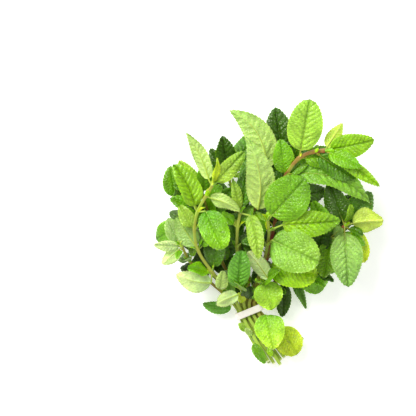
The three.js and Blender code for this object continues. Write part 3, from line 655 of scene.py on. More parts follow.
leaves = grow_bunch(stems)
print("leaves on each stem:", [len(own) for own in leaves], "in all", sum(map(len, leaves)))


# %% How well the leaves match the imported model
def gap_to_model(name, own_leaves):
    """The largest distance, in mm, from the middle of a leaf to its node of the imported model."""
    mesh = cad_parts["sprig_" + name].data
    tree = BVHTree.FromPolygons([v.co for v in mesh.vertices], [p.vertices for p in mesh.polygons])
    shares, middle = np.linspace(0.2, 0.8, 4), np.zeros(4)
    points = [point * MM for leaf in own_leaves for point in blade_points(leaf, shares, middle)]
    return max(tree.find_nearest(Vector(point))[3] for point in points) / MM


gaps = [gap_to_model(sprig["name"], own) for sprig, own in zip(SPRIGS, leaves)]
print("furthest from the model, mm:", round(max(gaps), 2))

# %% [markdown]
# ## Leaf colours
#
# Mint is never one green. Young leaves are yellow-green, grown ones a deeper green, and every underside
# is paler and greyer. A material for each tone would do, but would end sharply at the edge of every leaf.
# Here each leaf gets its own tone, written on its points as a colour that can change along the blade, so
# that one material serves the whole bunch. That colour also carries painted highlight and painted shade.

# %% Tones
# The dark and deep tones hold painted shade as well as green: they darken leaves that lie deep among the
# others.
TONES = {
    "bright": "#7EC004", "cluster": "#8CC00C", "light": "#A2D03C", "low": "#A6DA2A", "silver": "#90C43A",
    "middle": "#70AA08", "blue": "#6EB030", "mist": "#9ACA58", "deep": "#528804", "dark": "#3C6402",
    "yellow": "#DAF624", "sunny": "#A4DA0C", "gold": "#C0D850", "soft": "#A0C83A", "grey": "#98BC5E",
    "pale": "#B4D26A", "white": "#C8E08E", "tall": "#AECE66", "arch": "#84BC2C", "crescent": "#5A9A1C",
}
RULE_TONES = ["middle", "deep", "bright", "middle", "deep", "dark", "middle", "cluster"]
UNDERSIDE = "#B6D67A"
UNDERSIDE_SHARE = 0.62
TURNED_SHADE = 0.6
BRIGHTNESS_SPREAD = 0.16


def leaf_colours(leaf, number, order):
    """The linear colours of a leaf's upper side and underside, and how it changes towards its tip."""
    tone = leaf["tone"] or RULE_TONES[int(chance(number, order, 21) * len(RULE_TONES))]
    own = np.array(linear(TONES[tone])) * (1 + BRIGHTNESS_SPREAD * (chance(number, order, 22) - 0.5))
    glow = chance(number, order, 24) - 0.5 if leaf["glow"] is None else leaf["glow"]
    if leaf["face"][2] < 0:
        return own * TURNED_SHADE, own, glow
    return own, own * (1 - UNDERSIDE_SHARE) + np.array(linear(UNDERSIDE)) * UNDERSIDE_SHARE, glow


print("tones:", len(TONES))

# %% [markdown]
# ## A mint leaf
#
# The blade is a grid of points, with more rows where the edge has teeth. Each tooth leans forward, so
# the edge column swings out slowly and drops back fast. Side veins leave the midrib at a slant and bend
# towards the tip. The blade is pressed in along them and puffed up between them, and this relief is real
# geometry, because it is what catches the light. Upper and lower face meet in one sharp edge, which
# keeps the leaf closed and thin.

# %% The rows and teeth of a blade, in millimetres
FULL_LENGTH = 40
TOOTH_SPACING, LEAST_TEETH, MOST_TEETH = 2.7, 4, 17
TOOTH_PHASES = (0.0, 0.4, 0.76, 0.92)
TOOTH_SWING = (0.0, 0.55, 1.0, 0.35)
TOOTH_DEPTH, TOOTH_ZONE, TOOTH_LEAN = 0.6, 0.2, 0.7
TEETH_FROM, TEETH_TO = 0.07, 0.97
FRILL_HEIGHT = 0.9
TIP_HALF_WIDTH = 0.12


def blade_rows(leaf):
    """The shares at which the blade has rows, and how far its edge swings out there."""
    count = int(np.clip(round(leaf["length"] / TOOTH_SPACING), LEAST_TEETH, MOST_TEETH))
    step = (TEETH_TO - TEETH_FROM) / count
    shares = [0.0, TEETH_FROM / 2]
    swings = [0.0, 0.0]
    for tooth in range(count):
        for phase, swing in zip(TOOTH_PHASES, TOOTH_SWING):
            shares.append(TEETH_FROM + (tooth + phase) * step)
            swings.append(swing)
    return np.array(shares + [TEETH_TO, 1.0]), np.array(swings + [0.0, 0.0])


def toothed_middle(leaf, share, cross, swings):
    """The middle surface of a blade, with its teeth and the slight frill of its edge."""
    size = min(1, leaf["length"] / FULL_LENGTH)
    middle = blade_points(leaf, share, cross, TIP_HALF_WIDTH)
    edge = np.clip((np.abs(cross) - (1 - TOOTH_ZONE)) / TOOTH_ZONE, 0, 1) ** 2
    swing = TOOTH_DEPTH * size**0.5 * swings[:, None] * edge * np.sign(cross)
    middle += leaf["side"] * swing[..., None] + leaf["along"] * (TOOTH_LEAN * np.abs(swing))[..., None]
    frill = FRILL_HEIGHT * np.sin(share * 9 + leaf["phase"] * 3 + 1.5 * np.sign(cross)) * cross**4
    return middle + leaf["up"] * (frill * size)[..., None]


print("teeth on each side of a full leaf:", round(FULL_LENGTH / TOOTH_SPACING))

# %% The veins and puffs of a blade, in millimetres
VEIN_SPACING_SHARE, LEAST_VEIN_SPACING = 0.105, 2.4
VEIN_SLANT, VEIN_BEND, VEIN_WANDER = 0.62, 0.03, 0.35
PUFF_HEIGHT, PUFF_POWER = 1.0, 0.7
CELL_HEIGHT, CELL_LENGTH = 0.45, 3.2
GROOVE_DEPTH, GROOVE_WIDTH = 0.55, 0.9
LEAF_THICKNESS = 0.5
UNDER_RELIEF = 0.8
LOWEST_UPPER, LOWEST_LOWER = 0.5, 0.15


def vein_relief(leaf, u, v):
    """Height above the middle surface for distances u along the blade and v from the midrib, in mm."""
    size = min(1, leaf["length"] / FULL_LENGTH)
    spacing = max(VEIN_SPACING_SHARE * leaf["length"], LEAST_VEIN_SPACING)
    wander = 0.5 * np.sin(0.45 * u + leaf["phase"]) * np.sin(0.35 * v + 2 * leaf["phase"])
    place = (u - VEIN_SLANT * np.abs(v) - VEIN_BEND * v * v) / spacing + VEIN_WANDER * wander
    puff = np.abs(np.sin(np.pi * place)) ** PUFF_POWER
    lane = np.floor(place)
    shift = 0.5 * lane + 0.3 * np.sin(5 * lane + leaf["phase"])
    cell = np.abs(np.sin(np.pi * (np.abs(v) / CELL_LENGTH + shift))) ** PUFF_POWER
    groove = np.exp(-((v / GROOVE_WIDTH) ** 2))
    return size * ((PUFF_HEIGHT * puff + CELL_HEIGHT * cell * puff) * (1 - groove) - GROOVE_DEPTH * groove)


def blade_sides(leaf, middle, share, cross, u, v):
    """The upper and the lower side of a blade, which meet at its edge, and the height of its relief."""
    normal = unit(np.cross(np.gradient(middle, axis=1), np.gradient(middle, axis=0)))
    inner = (1 - cross**8) * (1 - (2 * share - 1) ** 12)
    relief = vein_relief(leaf, u, v) * (1 - np.abs(cross) ** 6) * inner
    thick = LEAF_THICKNESS / 2 * inner
    upper = middle + normal * (relief + thick)[..., None]
    lower = middle + normal * (relief * UNDER_RELIEF - thick)[..., None]
    upper[..., 2] = np.maximum(upper[..., 2], LOWEST_UPPER)
    lower[..., 2] = np.maximum(lower[..., 2], LOWEST_LOWER)
    return upper, lower, relief


print("side veins on a full leaf:", round(1 / VEIN_SPACING_SHARE))

# %% The colours of a blade's points
WARMTH = np.array([0.5, 0.28, 0.3])
# Painted shade: leaves grown by rule are darkened to DEEP_SHADE at the floor, and get none from
# FULL_LIGHT_HEIGHT mm up.
DEEP_SHADE, FULL_LIGHT_HEIGHT = 0.42, 46
PALE_RIB_WIDTH = 0.8
TIP_FROM, TIP_SHADE = 0.985, 0.35


def point_colours(leaf, number, order, height, share, cross, v, relief):
    """The linear colours of the points: pale midrib and edge, a dark tip, painted highlight on puffs, and
    painted shade in veins and on low leaves grown by rule.
    """
    top, bottom, glow = leaf_colours(leaf, number, order)
    warm = 1 + WARMTH * (glow * (2 * share - 1))[..., None]
    light = np.clip(height / FULL_LIGHT_HEIGHT, 0, 1)
    # Painted shade: leaves grown by rule are darker the lower they lie in the bunch.
    deep = 1 if leaf["tone"] else DEEP_SHADE + (1 - DEEP_SHADE) * light
    rib = np.exp(-((v / PALE_RIB_WIDTH) ** 2)) * (1 - 0.6 * share)
    tip = np.where(share > TIP_FROM, TIP_SHADE, 1)
    # Painted highlight and painted shade on the upper side: puffs lighter, grooves darker. The underside is a
    # little darker where the blade puffs up.
    upper = 0.66 + 0.42 * np.clip(relief / PUFF_HEIGHT, 0, 1) + 0.35 * rib + 0.45 * cross**8
    lower = 1.05 - 0.14 * np.clip(relief, 0, 1)
    sides = [top * warm * (upper * deep * tip)[..., None], bottom * warm * (lower * tip * deep)[..., None]]
    return np.concatenate([side.reshape(-1, 3) for side in sides])


print("light on the lowest leaves grown by rule:", DEEP_SHADE)

# %% The mesh of a leaf
LEAF_SIZES = {"large": 34, "medium": 20, "small": 9, "bud": 0}
HALF_COLUMNS = {"large": 11, "medium": 8, "small": 6, "bud": 3}
COLUMN_CROWDING = 1.2


def closed_faces(rows, columns):
    """The faces of the upper and the lower side of a grid, which share the points of its rim."""
    index = np.arange(rows * columns).reshape(rows, columns)
    below = index + rows * columns
    rim = np.ones((rows, columns), bool)
    rim[1:-1, 1:-1] = False
    below[rim] = index[rim]
    top = np.stack([index[:-1, :-1], index[:-1, 1:], index[1:, 1:], index[1:, :-1]], -1)
    bottom = np.stack([below[:-1, :-1], below[1:, :-1], below[1:, 1:], below[:-1, 1:]], -1)
    return top.reshape(-1, 4), bottom.reshape(-1, 4), rim


def leaf_shape(leaf, number, order):
    """Points, faces, colours and blade coordinates of one leaf, in mm."""
    shares, swings = blade_rows(leaf)
    size = next(name for name, least in LEAF_SIZES.items() if leaf["length"] > least)
    steps = np.linspace(0, 1, HALF_COLUMNS[size] + 1) ** COLUMN_CROWDING
    across = np.concatenate([-steps[:0:-1], steps])
    share, cross = np.meshgrid(shares, across, indexing="ij")
    half = np.maximum(leaf["width"] / 2 * outline(share, leaf["point"]), TIP_HALF_WIDTH)
    u, v = share * leaf["length"], cross * half
    middle = toothed_middle(leaf, share, cross, swings)
    upper, lower, relief = blade_sides(leaf, middle, share, cross, u, v)
    top, bottom, rim = closed_faces(*share.shape)
    return dict(
        points=np.concatenate([upper.reshape(-1, 3), lower.reshape(-1, 3)]),
        faces=np.concatenate([top, bottom]),
        is_under=np.concatenate([np.zeros(len(top)), np.ones(len(bottom))]),
        colour=point_colours(leaf, number, order, middle[..., 2], share, cross, v, relief),
        blade=np.tile(np.stack([u, v], -1).reshape(-1, 2), (2, 1)),
        rim=np.concatenate([rim.reshape(-1), np.zeros(rim.size, bool)]),
        seed=chance(number, order, 23),
    )


print("columns of a large blade:", 2 * HALF_COLUMNS["large"] + 1)


# %% One object for the leaves of a sprig
def leaves_object(name, shapes):
    """One object for all the leaves of a sprig, with its colours, blade coordinates and sharp edges."""
    offsets = np.cumsum([0] + [len(s["points"]) for s in shapes])
    points = np.concatenate([s["points"] for s in shapes]) * MM
    faces = np.concatenate([s["faces"] + offset for s, offset in zip(shapes, offsets)])
    used = np.zeros(len(points), bool)
    used[faces] = True
    renumber = np.cumsum(used) - 1
    faces = renumber[faces]
    mesh = bpy.data.meshes.new(name)
    mesh.from_pydata(points[used].tolist(), [], faces.tolist())
    mesh.shade_smooth()

    colour = np.concatenate([s["colour"] for s in shapes])[used]
    rgba = np.concatenate([np.clip(colour, 0, 1), np.ones((len(colour), 1))], 1)
    mesh.attributes.new("leaf_tone_and_painted_shade", "FLOAT_COLOR", "POINT").data.foreach_set("color", rgba.ravel())
    is_under = np.concatenate([s["is_under"] for s in shapes])
    mesh.attributes.new("underside", "FLOAT", "FACE").data.foreach_set("value", is_under)
    seeds = np.concatenate([np.full(len(s["points"]), s["seed"]) for s in shapes])[used]
    blade = np.concatenate([s["blade"] for s in shapes])[used]
    blade = np.stack([blade[:, 0] + 100 * seeds, blade[:, 1]], -1)
    loops = np.empty(len(mesh.loops), int)
    mesh.loops.foreach_get("vertex_index", loops)
    mesh.uv_layers.new(name="blade").data.foreach_set("uv", blade[loops].ravel())

    rim = np.concatenate([s["rim"] for s in shapes])[used]
    edges = np.empty(len(mesh.edges) * 2, int)
    mesh.edges.foreach_get("vertices", edges)
    sharp = rim[edges.reshape(-1, 2)].all(1)
    mesh.attributes.new("sharp_edge", "BOOLEAN", "EDGE").data.foreach_set("value", sharp)
    leaf_object = bpy.data.objects.new(name, mesh)
    scene.collection.objects.link(leaf_object)
    return leaf_object


print("what the leaves carry: leaf_tone_and_painted_shade, underside, sharp_edge and the blade's own coordinates")

# %% [markdown]
# ## Young leaves
#
# Small yellow-green leaves open in the axil of every joint and crowd round the tip of each stem, and a few
# stand among the stems at the neck. They fill the joints, where a bare stalk would look like a stick. They
# could be copies of one small leaf, but the same maker of blades gives each its own turn, fold and tone.

# %% Young leaves
BUD_LENGTH, BUD_LENGTH_SPREAD, BUD_WIDTH = 5.5, 3.5, 0.5
BUDS_AT_JOINT, BUDS_AT_TIP = 2, 4
JOINT_BUD_LEAN, TIP_BUD_LEAN = 0.8, 0.45
BUD_OFFSET = 1.1
LOWEST_BUD_TIP = 1.5
NECK_WIDTH, NECK_LIFT, NECK_RISE = 0.62, 2.0, 0.12
BUD_TONES = ["yellow", "sunny", "bright", "gold"]
NECK_LEAVES = {  # place among the stem's points, turn in degrees, length and tone
    "front_left": [(2.35, -20, 12, "deep"), (2.75, 18, 11, "middle"), (0.62, -14, 8, "pale")],
    "front_centre": [(2.3, -16, 11, "yellow"), (2.6, 22, 12, "dark"), (0.35, -170, 7, "sunny")],
    "front_right": [(2.4, -24, 13, "dark"), (2.7, 10, 12, "middle")],
    "front_low": [(2.3, -18, 11, "bright"), (2.55, 25, 12, "deep"), (0.3, 150, 7, "gold")],
    "tall_left": [(0.5, -20, 9, "grey"), (2.6, -12, 12, "dark")],
    "left": [(2.7, 16, 12, "middle"), (0.75, -16, 9, "soft")],
}


def young_leaves(number, points):
    """The small leaves that open in the axils of a sprig's joints and round its tip, close to the stem."""
    last = len(points) - 1
    made = []
    for node in range(FIRST_JOINT, last + 1):
        root, forward = curve_point(points, node / last), curve_forward(points, node / last)
        flat = unit(np.array([forward[1], -forward[0], 0]))
        steep = np.cross(flat, forward)
        count = BUDS_AT_TIP if node == last else BUDS_AT_JOINT
        for order in range(count):
            turn = 2 * math.pi * (order / count + 0.3 * chance(number, node, 30 + order)) + 0.5 * node
            out = flat * math.cos(turn) + steep * math.sin(turn)
            heading = unit(forward + out * (TIP_BUD_LEAN if node == last else JOINT_BUD_LEAN))
            length = BUD_LENGTH + BUD_LENGTH_SPREAD * chance(number, node, 40 + order)
            start = root + out * BUD_OFFSET
            made.append(framed(dict(
                root=root, stalk=start, tip=start + heading * length, face=unit(forward - 0.6 * out),
                width=BUD_WIDTH * length, fold=0.35, bend=0.1,
                curve=0.1 * (chance(number, node, 50 + order) - 0.5),
                point=PLAIN_POINT, phase=6 * chance(number, node, 60 + order),
                tone=BUD_TONES[(number + node + order) % len(BUD_TONES)], glow=0.0,
            )))
    for order, (at, turn, length, tone) in enumerate(NECK_LEAVES.get(SPRIGS[number]["name"], ())):
        root, forward = curve_point(points, at / last), curve_forward(points, at / last)
        sideways = np.array([forward[1], -forward[0], 0])
        heading = unit(forward * math.cos(math.radians(turn)) + sideways * math.sin(math.radians(turn)))
        start = root + sideways * math.copysign(0.6, turn) + np.array([0, 0, NECK_LIFT])
        made.append(framed(dict(
            root=root, stalk=start, tip=start + heading * length + np.array([0, 0, NECK_RISE * length]),
            face=unit(np.array([0.2 * chance(number, order, 70) - 0.1, -0.2, 1])), width=NECK_WIDTH * length,
            fold=0.15, bend=0.08, curve=0.0, point=PLAIN_POINT, phase=6 * chance(number, order, 71),
            tone=tone, glow=0.2,
        )))
    return [leaf for leaf in made if leaf["tip"][2] > LOWEST_BUD_TIP]


buds = [young_leaves(number, points) for number, points in enumerate(stems)]
print("young leaves:", sum(map(len, buds)))

# %% Make the leaves
leaf_objects = []
for number, sprig in enumerate(SPRIGS):
    own = leaves[number] + buds[number]
    shapes = [leaf_shape(leaf, number, order) for order, leaf in enumerate(own)]
    leaf_objects.append(leaves_object(sprig["name"] + "_leaves", shapes))
print("leaf triangles:", sum(2 * len(o.data.polygons) for o in leaf_objects))

# %% [markdown]
# ## The leaf's finish
#
# A fresh mint leaf is waxy but not shiny: a soft gloss broken up by the puffed surface, with a net of fine
# veins between the side veins. Light also passes through the thin blade, which gives fresh leaves their
# glow. The net could be modelled too, but its lines are finer than a pixel, so a pattern of cells stands
# for it. It is drawn from the blade's own coordinates, in millimetres, so that it follows the blade, as dark
# creases on the upper side, darkened as painted shade, and as pale raised lines on the underside.

# %% Fresh leaf
# Leaf wax gives a soft, slightly green gloss, and patches of about 6 mm are paler or darker. A cell of the
# real net is about 1 mm wide, too fine to show at 0.8 mm a pixel, so it is drawn 2 mm wide.
NET_CELL, WARP_SIZE, MOTTLE_SIZE = 2.1, 2.86, 6.25
NET_WARP = 1.6
CREASE_WIDTH, CREASE_SHARE, CREASE_RISE = 0.16, 0.5, 0.36
leaf_finish, tree, shader = new_finish("fresh_mint_leaf", {
    "Roughness": 0.33, "IOR": 1.45, "Specular IOR Level": 0.65, "Specular Tint": (0.97, 1.0, 0.78, 1),
    "Subsurface Weight": 0.25, "Subsurface Radius": (0.6, 1.0, 0.15), "Subsurface Scale": 0.0012,
})
tone = add_node(tree, "ShaderNodeAttribute", {"attribute_name": "leaf_tone_and_painted_shade"})
under = add_node(tree, "ShaderNodeAttribute", {"attribute_name": "underside"})
blade_map = add_node(tree, "ShaderNodeUVMap", {"uv_map": "blade"})
place = add_node(tree, "ShaderNodeTexCoord")
warp = add_node(tree, "ShaderNodeTexNoise", {"noise_dimensions": "2D"},
                {"Scale": 1 / WARP_SIZE, "Detail": 2.0}, {"Vector": blade_map.outputs["UV"]})
bent = add_node(tree, "ShaderNodeVectorMath", {"operation": "MULTIPLY_ADD"}, {1: (NET_WARP, NET_WARP, 0)},
                {0: warp.outputs["Color"], 2: blade_map.outputs["UV"]})
net = add_node(tree, "ShaderNodeTexVoronoi", {"voronoi_dimensions": "2D", "feature": "DISTANCE_TO_EDGE"},
               {"Scale": 1 / NET_CELL}, {"Vector": bent.outputs["Vector"]})
crease = add_node(tree, "ShaderNodeMapRange", {"clamp": True},
                  {"From Min": 0.0, "From Max": CREASE_WIDTH, "To Min": 1.0, "To Max": 0.0},
                  {"Value": net.outputs["Distance"]})
mottle = add_node(tree, "ShaderNodeTexNoise", {}, {"Scale": 1 / (MOTTLE_SIZE * MM), "Detail": 3.0},
                  {"Vector": place.outputs["Object"]})
patchy = add_node(tree, "ShaderNodeMapRange", {},
                  {"From Min": 0.3, "From Max": 0.7, "To Min": 0.8, "To Max": 1.2},
                  {"Value": mottle.outputs["Fac"]})
# Upper side: the net's creases are darkened, a painted shade. Underside: its raised lines are paler.
crease_shade_and_pale_vein = add_node(tree, "ShaderNodeMix", {"data_type": "RGBA"},
                       {6: (0.55, 0.62, 0.5, 1), 7: (1.25, 1.22, 1.2, 1)}, {0: under.outputs["Fac"]})
vein_share = add_node(tree, "ShaderNodeMath", {"operation": "MULTIPLY"}, {1: CREASE_SHARE},
                      {0: crease.outputs["Result"]})
crease_shaded_and_veined = add_node(tree, "ShaderNodeMix", {"data_type": "RGBA", "blend_type": "MULTIPLY"}, {},
                  {0: vein_share.outputs[0], 6: tone.outputs["Color"], 7: crease_shade_and_pale_vein.outputs[2]})
spotted = add_node(tree, "ShaderNodeVectorMath", {"operation": "SCALE"}, {},
                   {0: crease_shaded_and_veined.outputs[2], "Scale": patchy.outputs["Result"]})
tree.links.new(spotted.outputs["Vector"], shader.inputs["Base Color"])
height = add_node(tree, "ShaderNodeMath", {"operation": "MINIMUM"}, {1: CREASE_RISE},
                  {0: net.outputs["Distance"]})
bump = add_node(tree, "ShaderNodeBump", {}, {"Strength": 0.7, "Distance": 1.0 * MM},
                {"Height": height.outputs[0]})
tree.links.new(bump.outputs["Normal"], shader.inputs["Normal"])
for leaf_object in leaf_objects:
    leaf_object.data.materials.append(leaf_finish)
print("material:", leaf_finish.name)

# %% [markdown]
# ## Stems and stalks
#
# A mint stem is square, with soft corners, a little swollen at each joint, and often flushed red-brown on
# the sunny side. A leaf stalk is thin and round, and runs on along the underside of the blade as its midrib.
# Both follow a path and grow thinner along it. A curve with a bevel would make the round stalks, but not
# the square stems, so one small tree of Geometry Nodes sweeps a section along curves for both: a rounded
# square for the stems and nearly a circle for the stalks. The thickness is each point's radius.

# %% A tree that sweeps a section along its curves
def new_socket(tree, name, kind, default=None, output=False):
    """Add an input or output to a tree, and give back the identifier that a modifier knows it by."""
    socket = tree.interface.new_socket(name, in_out="OUTPUT" if output else "INPUT", socket_type=kind)
    if default is not None:
        socket.default_value = default
    return socket.identifier


def sweep_tree():
    """Geometry Nodes that turn curves into tubes, with their length along the curve kept as an attribute."""
    tree = bpy.data.node_groups.new("stem_sweep", "GeometryNodeTree")
    tree.is_modifier = True
    inputs = {
        "Curves": new_socket(tree, "Curves", "NodeSocketGeometry"),
        "Step": new_socket(tree, "Step", "NodeSocketFloat", 0.002),
        "Side": new_socket(tree, "Side", "NodeSocketFloat", 1.0),
        "Corner": new_socket(tree, "Corner", "NodeSocketFloat", 0.3),
        "Corner Points": new_socket(tree, "Corner Points", "NodeSocketInt", 2),
        "Redness": new_socket(tree, "Redness", "NodeSocketFloat", 0.0),
        "Finish": new_socket(tree, "Finish", "NodeSocketMaterial"),
    }
    new_socket(tree, "Mesh", "NodeSocketGeometry", output=True)
    given = add_node(tree, "NodeGroupInput")
    smooth = add_node(tree, "GeometryNodeCurveSplineType", {"spline_type": "CATMULL_ROM"}, {},
                      {"Curve": given.outputs["Curves"]})
    even = add_node(tree, "GeometryNodeResampleCurve", {"mode": "LENGTH"}, {},
                    {"Curve": smooth.outputs["Curve"], "Length": given.outputs["Step"]})
    spot = add_node(tree, "GeometryNodeSplineParameter")
    length = add_node(tree, "GeometryNodeStoreNamedAttribute", {"data_type": "FLOAT", "domain": "POINT"},
                      {"Name": "along"}, {"Geometry": even.outputs["Curve"], "Value": spot.outputs["Length"]})
    square = add_node(tree, "GeometryNodeCurvePrimitiveQuadrilateral", {}, {},
                      {"Width": given.outputs["Side"], "Height": given.outputs["Side"]})
    rounded = add_node(tree, "GeometryNodeFilletCurve", {"mode": "POLY"}, {"Limit Radius": True},
                       {"Curve": square.outputs["Curve"], "Count": given.outputs["Corner Points"],
                        "Radius": given.outputs["Corner"]})
    radius = add_node(tree, "GeometryNodeInputRadius")
    tube = add_node(tree, "GeometryNodeCurveToMesh", {}, {"Fill Caps": True},
                    {"Curve": length.outputs["Geometry"], "Profile Curve": rounded.outputs["Curve"],
                     "Scale": radius.outputs["Radius"]})
    redness = add_node(tree, "GeometryNodeStoreNamedAttribute", {"data_type": "FLOAT", "domain": "POINT"},
                       {"Name": "redness"},
                       {"Geometry": tube.outputs["Mesh"], "Value": given.outputs["Redness"]})
    soft = add_node(tree, "GeometryNodeSetShadeSmooth", {}, {}, {"Geometry": redness.outputs["Geometry"]})
    single = add_node(tree, "GeometryNodeRealizeInstances", {}, {}, {"Geometry": soft.outputs["Geometry"]})
    coated = add_node(tree, "GeometryNodeSetMaterial", {}, {},
                      {"Geometry": single.outputs["Geometry"], "Material": given.outputs["Finish"]})
    result = add_node(tree, "NodeGroupOutput")
    tree.links.new(coated.outputs["Geometry"], result.inputs[0])
    return tree, inputs


def baked(name, source, tree, identifiers, values):
    """Run a Geometry Nodes tree on an object and keep the result as a plain mesh object."""
    modifier = source.modifiers.new("made", "NODES")
    modifier.node_group = tree
    for key, value in values.items():
        modifier[identifiers[key]] = value
    source.update_tag()
    view = bpy.context.evaluated_depsgraph_get()
    mesh = bpy.data.meshes.new_from_object(source.evaluated_get(view), depsgraph=view)
    bpy.data.objects.remove(source, do_unlink=True)
    mesh.name = name
    made = bpy.data.objects.new(name, mesh)
    scene.collection.objects.link(made)
    return made


def curves_object(name, paths):
    """A curve object from paths of points in mm, each with its radii in mm."""
    data = bpy.data.curves.new(name, "CURVE")
    data.dimensions = "3D"
    for points, radii in paths:
        spline = data.splines.new("POLY")
        spline.points.add(len(points) - 1)
        flat = np.concatenate([np.asarray(points) * MM, np.ones((len(points), 1))], 1)
        spline.points.foreach_set("co", flat.ravel())
        spline.points.foreach_set("radius", np.asarray(radii, float) * MM)
    curve_object = bpy.data.objects.new(name, data)
    scene.collection.objects.link(curve_object)
    return curve_object


SWEEP, SWEEP_INPUTS = sweep_tree()
print("sweep inputs:", list(SWEEP_INPUTS))

# %% [markdown]
# ## The stems' finish
#
# A mint stem has a dull green skin with fine lengthwise fibres. Sun flushes it red-brown in patches above
# the tie, and below the tie it is pale and green. The fresh cut shows cream pith. The flush could be
# painted by hand, but a soft noise with patches of about 18 mm gives it to every stem at once, and each
# stem says how red it is.

# %% Fresh stem
# Green skin has a dull gloss and lets some light in. Its real fibres are about 0.2 mm wide, too fine to
# show, so they are drawn 1.1 mm wide.
FLUSH_PATCH, FIBRE_SIZE = 18.2, 1.11
FLUSH_START, FLUSH_FULL = -18, 22  # mm from the tie towards the leaf tips
PITH_FROM, PITH_TO = 0.2, 1.6
stem_finish, tree, shader = new_finish("square_green_stem", {
    "Roughness": 0.45, "IOR": 1.45,
    "Subsurface Weight": 0.2, "Subsurface Radius": (0.7, 1.0, 0.3), "Subsurface Scale": 0.0015,
})
redness = add_node(tree, "ShaderNodeAttribute", {"attribute_name": "redness"})
length = add_node(tree, "ShaderNodeAttribute", {"attribute_name": "along"})
place = add_node(tree, "ShaderNodeTexCoord")
patch = add_node(tree, "ShaderNodeTexNoise", {}, {"Scale": 1 / (FLUSH_PATCH * MM), "Detail": 3.0},
                 {"Vector": place.outputs["Object"]})
flush = add_node(tree, "ShaderNodeMapRange", {"clamp": True},
                 {"From Min": 0.3, "From Max": 0.52, "To Min": 0.3, "To Max": 1.0},
                 {"Value": patch.outputs["Fac"]})
axes = add_node(tree, "ShaderNodeSeparateXYZ", {}, {}, {"Vector": place.outputs["Object"]})
above = add_node(tree, "ShaderNodeMapRange", {"clamp": True},
                 {"From Min": FLUSH_START * MM, "From Max": FLUSH_FULL * MM, "To Min": 0.22, "To Max": 1.0},
                 {"Value": axes.outputs["Y"]})
raised = add_node(tree, "ShaderNodeMath", {"operation": "MULTIPLY"}, {},
                  {0: flush.outputs["Result"], 1: above.outputs["Result"]})
amount = add_node(tree, "ShaderNodeMath", {"operation": "MULTIPLY", "use_clamp": True}, {},
                  {0: raised.outputs[0], 1: redness.outputs["Fac"]})
skin = add_node(tree, "ShaderNodeMix", {"data_type": "RGBA"},
                {6: (*linear("#A6C844"), 1), 7: (*linear("#9C4430"), 1)}, {0: amount.outputs[0]})
pith = add_node(tree, "ShaderNodeMapRange", {"clamp": True},
                {"From Min": PITH_FROM * MM, "From Max": PITH_TO * MM, "To Min": 1.0, "To Max": 0.0},
                {"Value": length.outputs["Fac"]})
ended = add_node(tree, "ShaderNodeMix", {"data_type": "RGBA"}, {7: (*linear("#EDEFCB"), 1)},
                 {0: pith.outputs["Result"], 6: skin.outputs[2]})
tree.links.new(ended.outputs[2], shader.inputs["Base Color"])
fibre = add_node(tree, "ShaderNodeTexNoise", {}, {"Scale": 1 / (FIBRE_SIZE * MM), "Detail": 2.0},
                 {"Vector": place.outputs["Object"]})
grain = add_node(tree, "ShaderNodeBump", {}, {"Strength": 0.25, "Distance": 0.2 * MM},
                 {"Height": fibre.outputs["Fac"]})
tree.links.new(grain.outputs["Normal"], shader.inputs["Normal"])
print("material:", stem_finish.name)

# %% Sweep the stems
STEM_POINTS, STEM_STEP = 120, 1.5
STEM_CORNER, STEM_CORNER_POINTS = 0.55, 3
JOINT_SWELL, JOINT_REACH = 0.22, 2.6


def stem_path(points, stout):
    """The points and radii of a stem, thinner or stouter towards its tip and swollen at each joint."""
    shares = np.linspace(0, 1, STEM_POINTS)
    line = np.array([curve_point(points, t) for t in shares])
    joints = points[FIRST_JOINT:]
    near = np.sqrt(((line[:, None] - joints[None]) ** 2).sum(-1)).min(1)
    radii = (1 - (1 - STEM_TIP_SHARE) * shares) * (1 + (stout - 1) * shares)
    return line, radii * (1 + JOINT_SWELL * np.exp(-((near / JOINT_REACH) ** 2))) / MM


stem_objects = []
for number, sprig in enumerate(SPRIGS):
    source = curves_object(sprig["name"] + "_stem_line", [stem_path(stems[number], sprig.get("stout", 1))])
    values = {
        "Step": STEM_STEP * MM, "Side": 2 * STEM_HALF_SIDE * MM, "Corner": STEM_CORNER * MM,
        "Corner Points": STEM_CORNER_POINTS, "Redness": sprig["red"], "Finish": stem_finish,
    }
    stem_objects.append(baked(sprig["name"] + "_stem", source, SWEEP, SWEEP_INPUTS, values))
print("stem faces:", sum(len(o.data.polygons) for o in stem_objects))

# %% Sweep the stalks and midribs
RIB_SHARES = np.array([0.04, 0.12, 0.22, 0.34, 0.48, 0.62, 0.76, 0.88])
RIB_RADII = np.array([0.72, 0.62, 0.52, 0.43, 0.34, 0.26, 0.18, 0.1])
RIB_SINK = 0.42
STALK_RADII = [0.85, 0.8, 0.76]
STALK_SIDE, STALK_STEP, STALK_CORNER_POINTS, STALK_REDNESS = 1.8, 1.6, 2, 0.4


def stalk_path(leaf):
    """The points and radii of a stalk that leaves the stem, bends, and runs on as the blade's midrib."""
    size = min(1, (leaf["length"] / FULL_LENGTH) ** 0.5)
    rib = blade_points(leaf, RIB_SHARES, np.zeros(len(RIB_SHARES)), TIP_HALF_WIDTH)
    rib = rib - leaf["up"] * (RIB_SINK * size + 0.35 * RIB_RADII)[:, None]
    start, end = leaf["root"], leaf["stalk"]
    bow = (start + end) / 2 - leaf["up"] * 0.4
    points = np.concatenate([[start, bow, end - leaf["up"] * 0.3], rib])
    return points, np.concatenate([STALK_RADII, RIB_RADII]) * size / MM


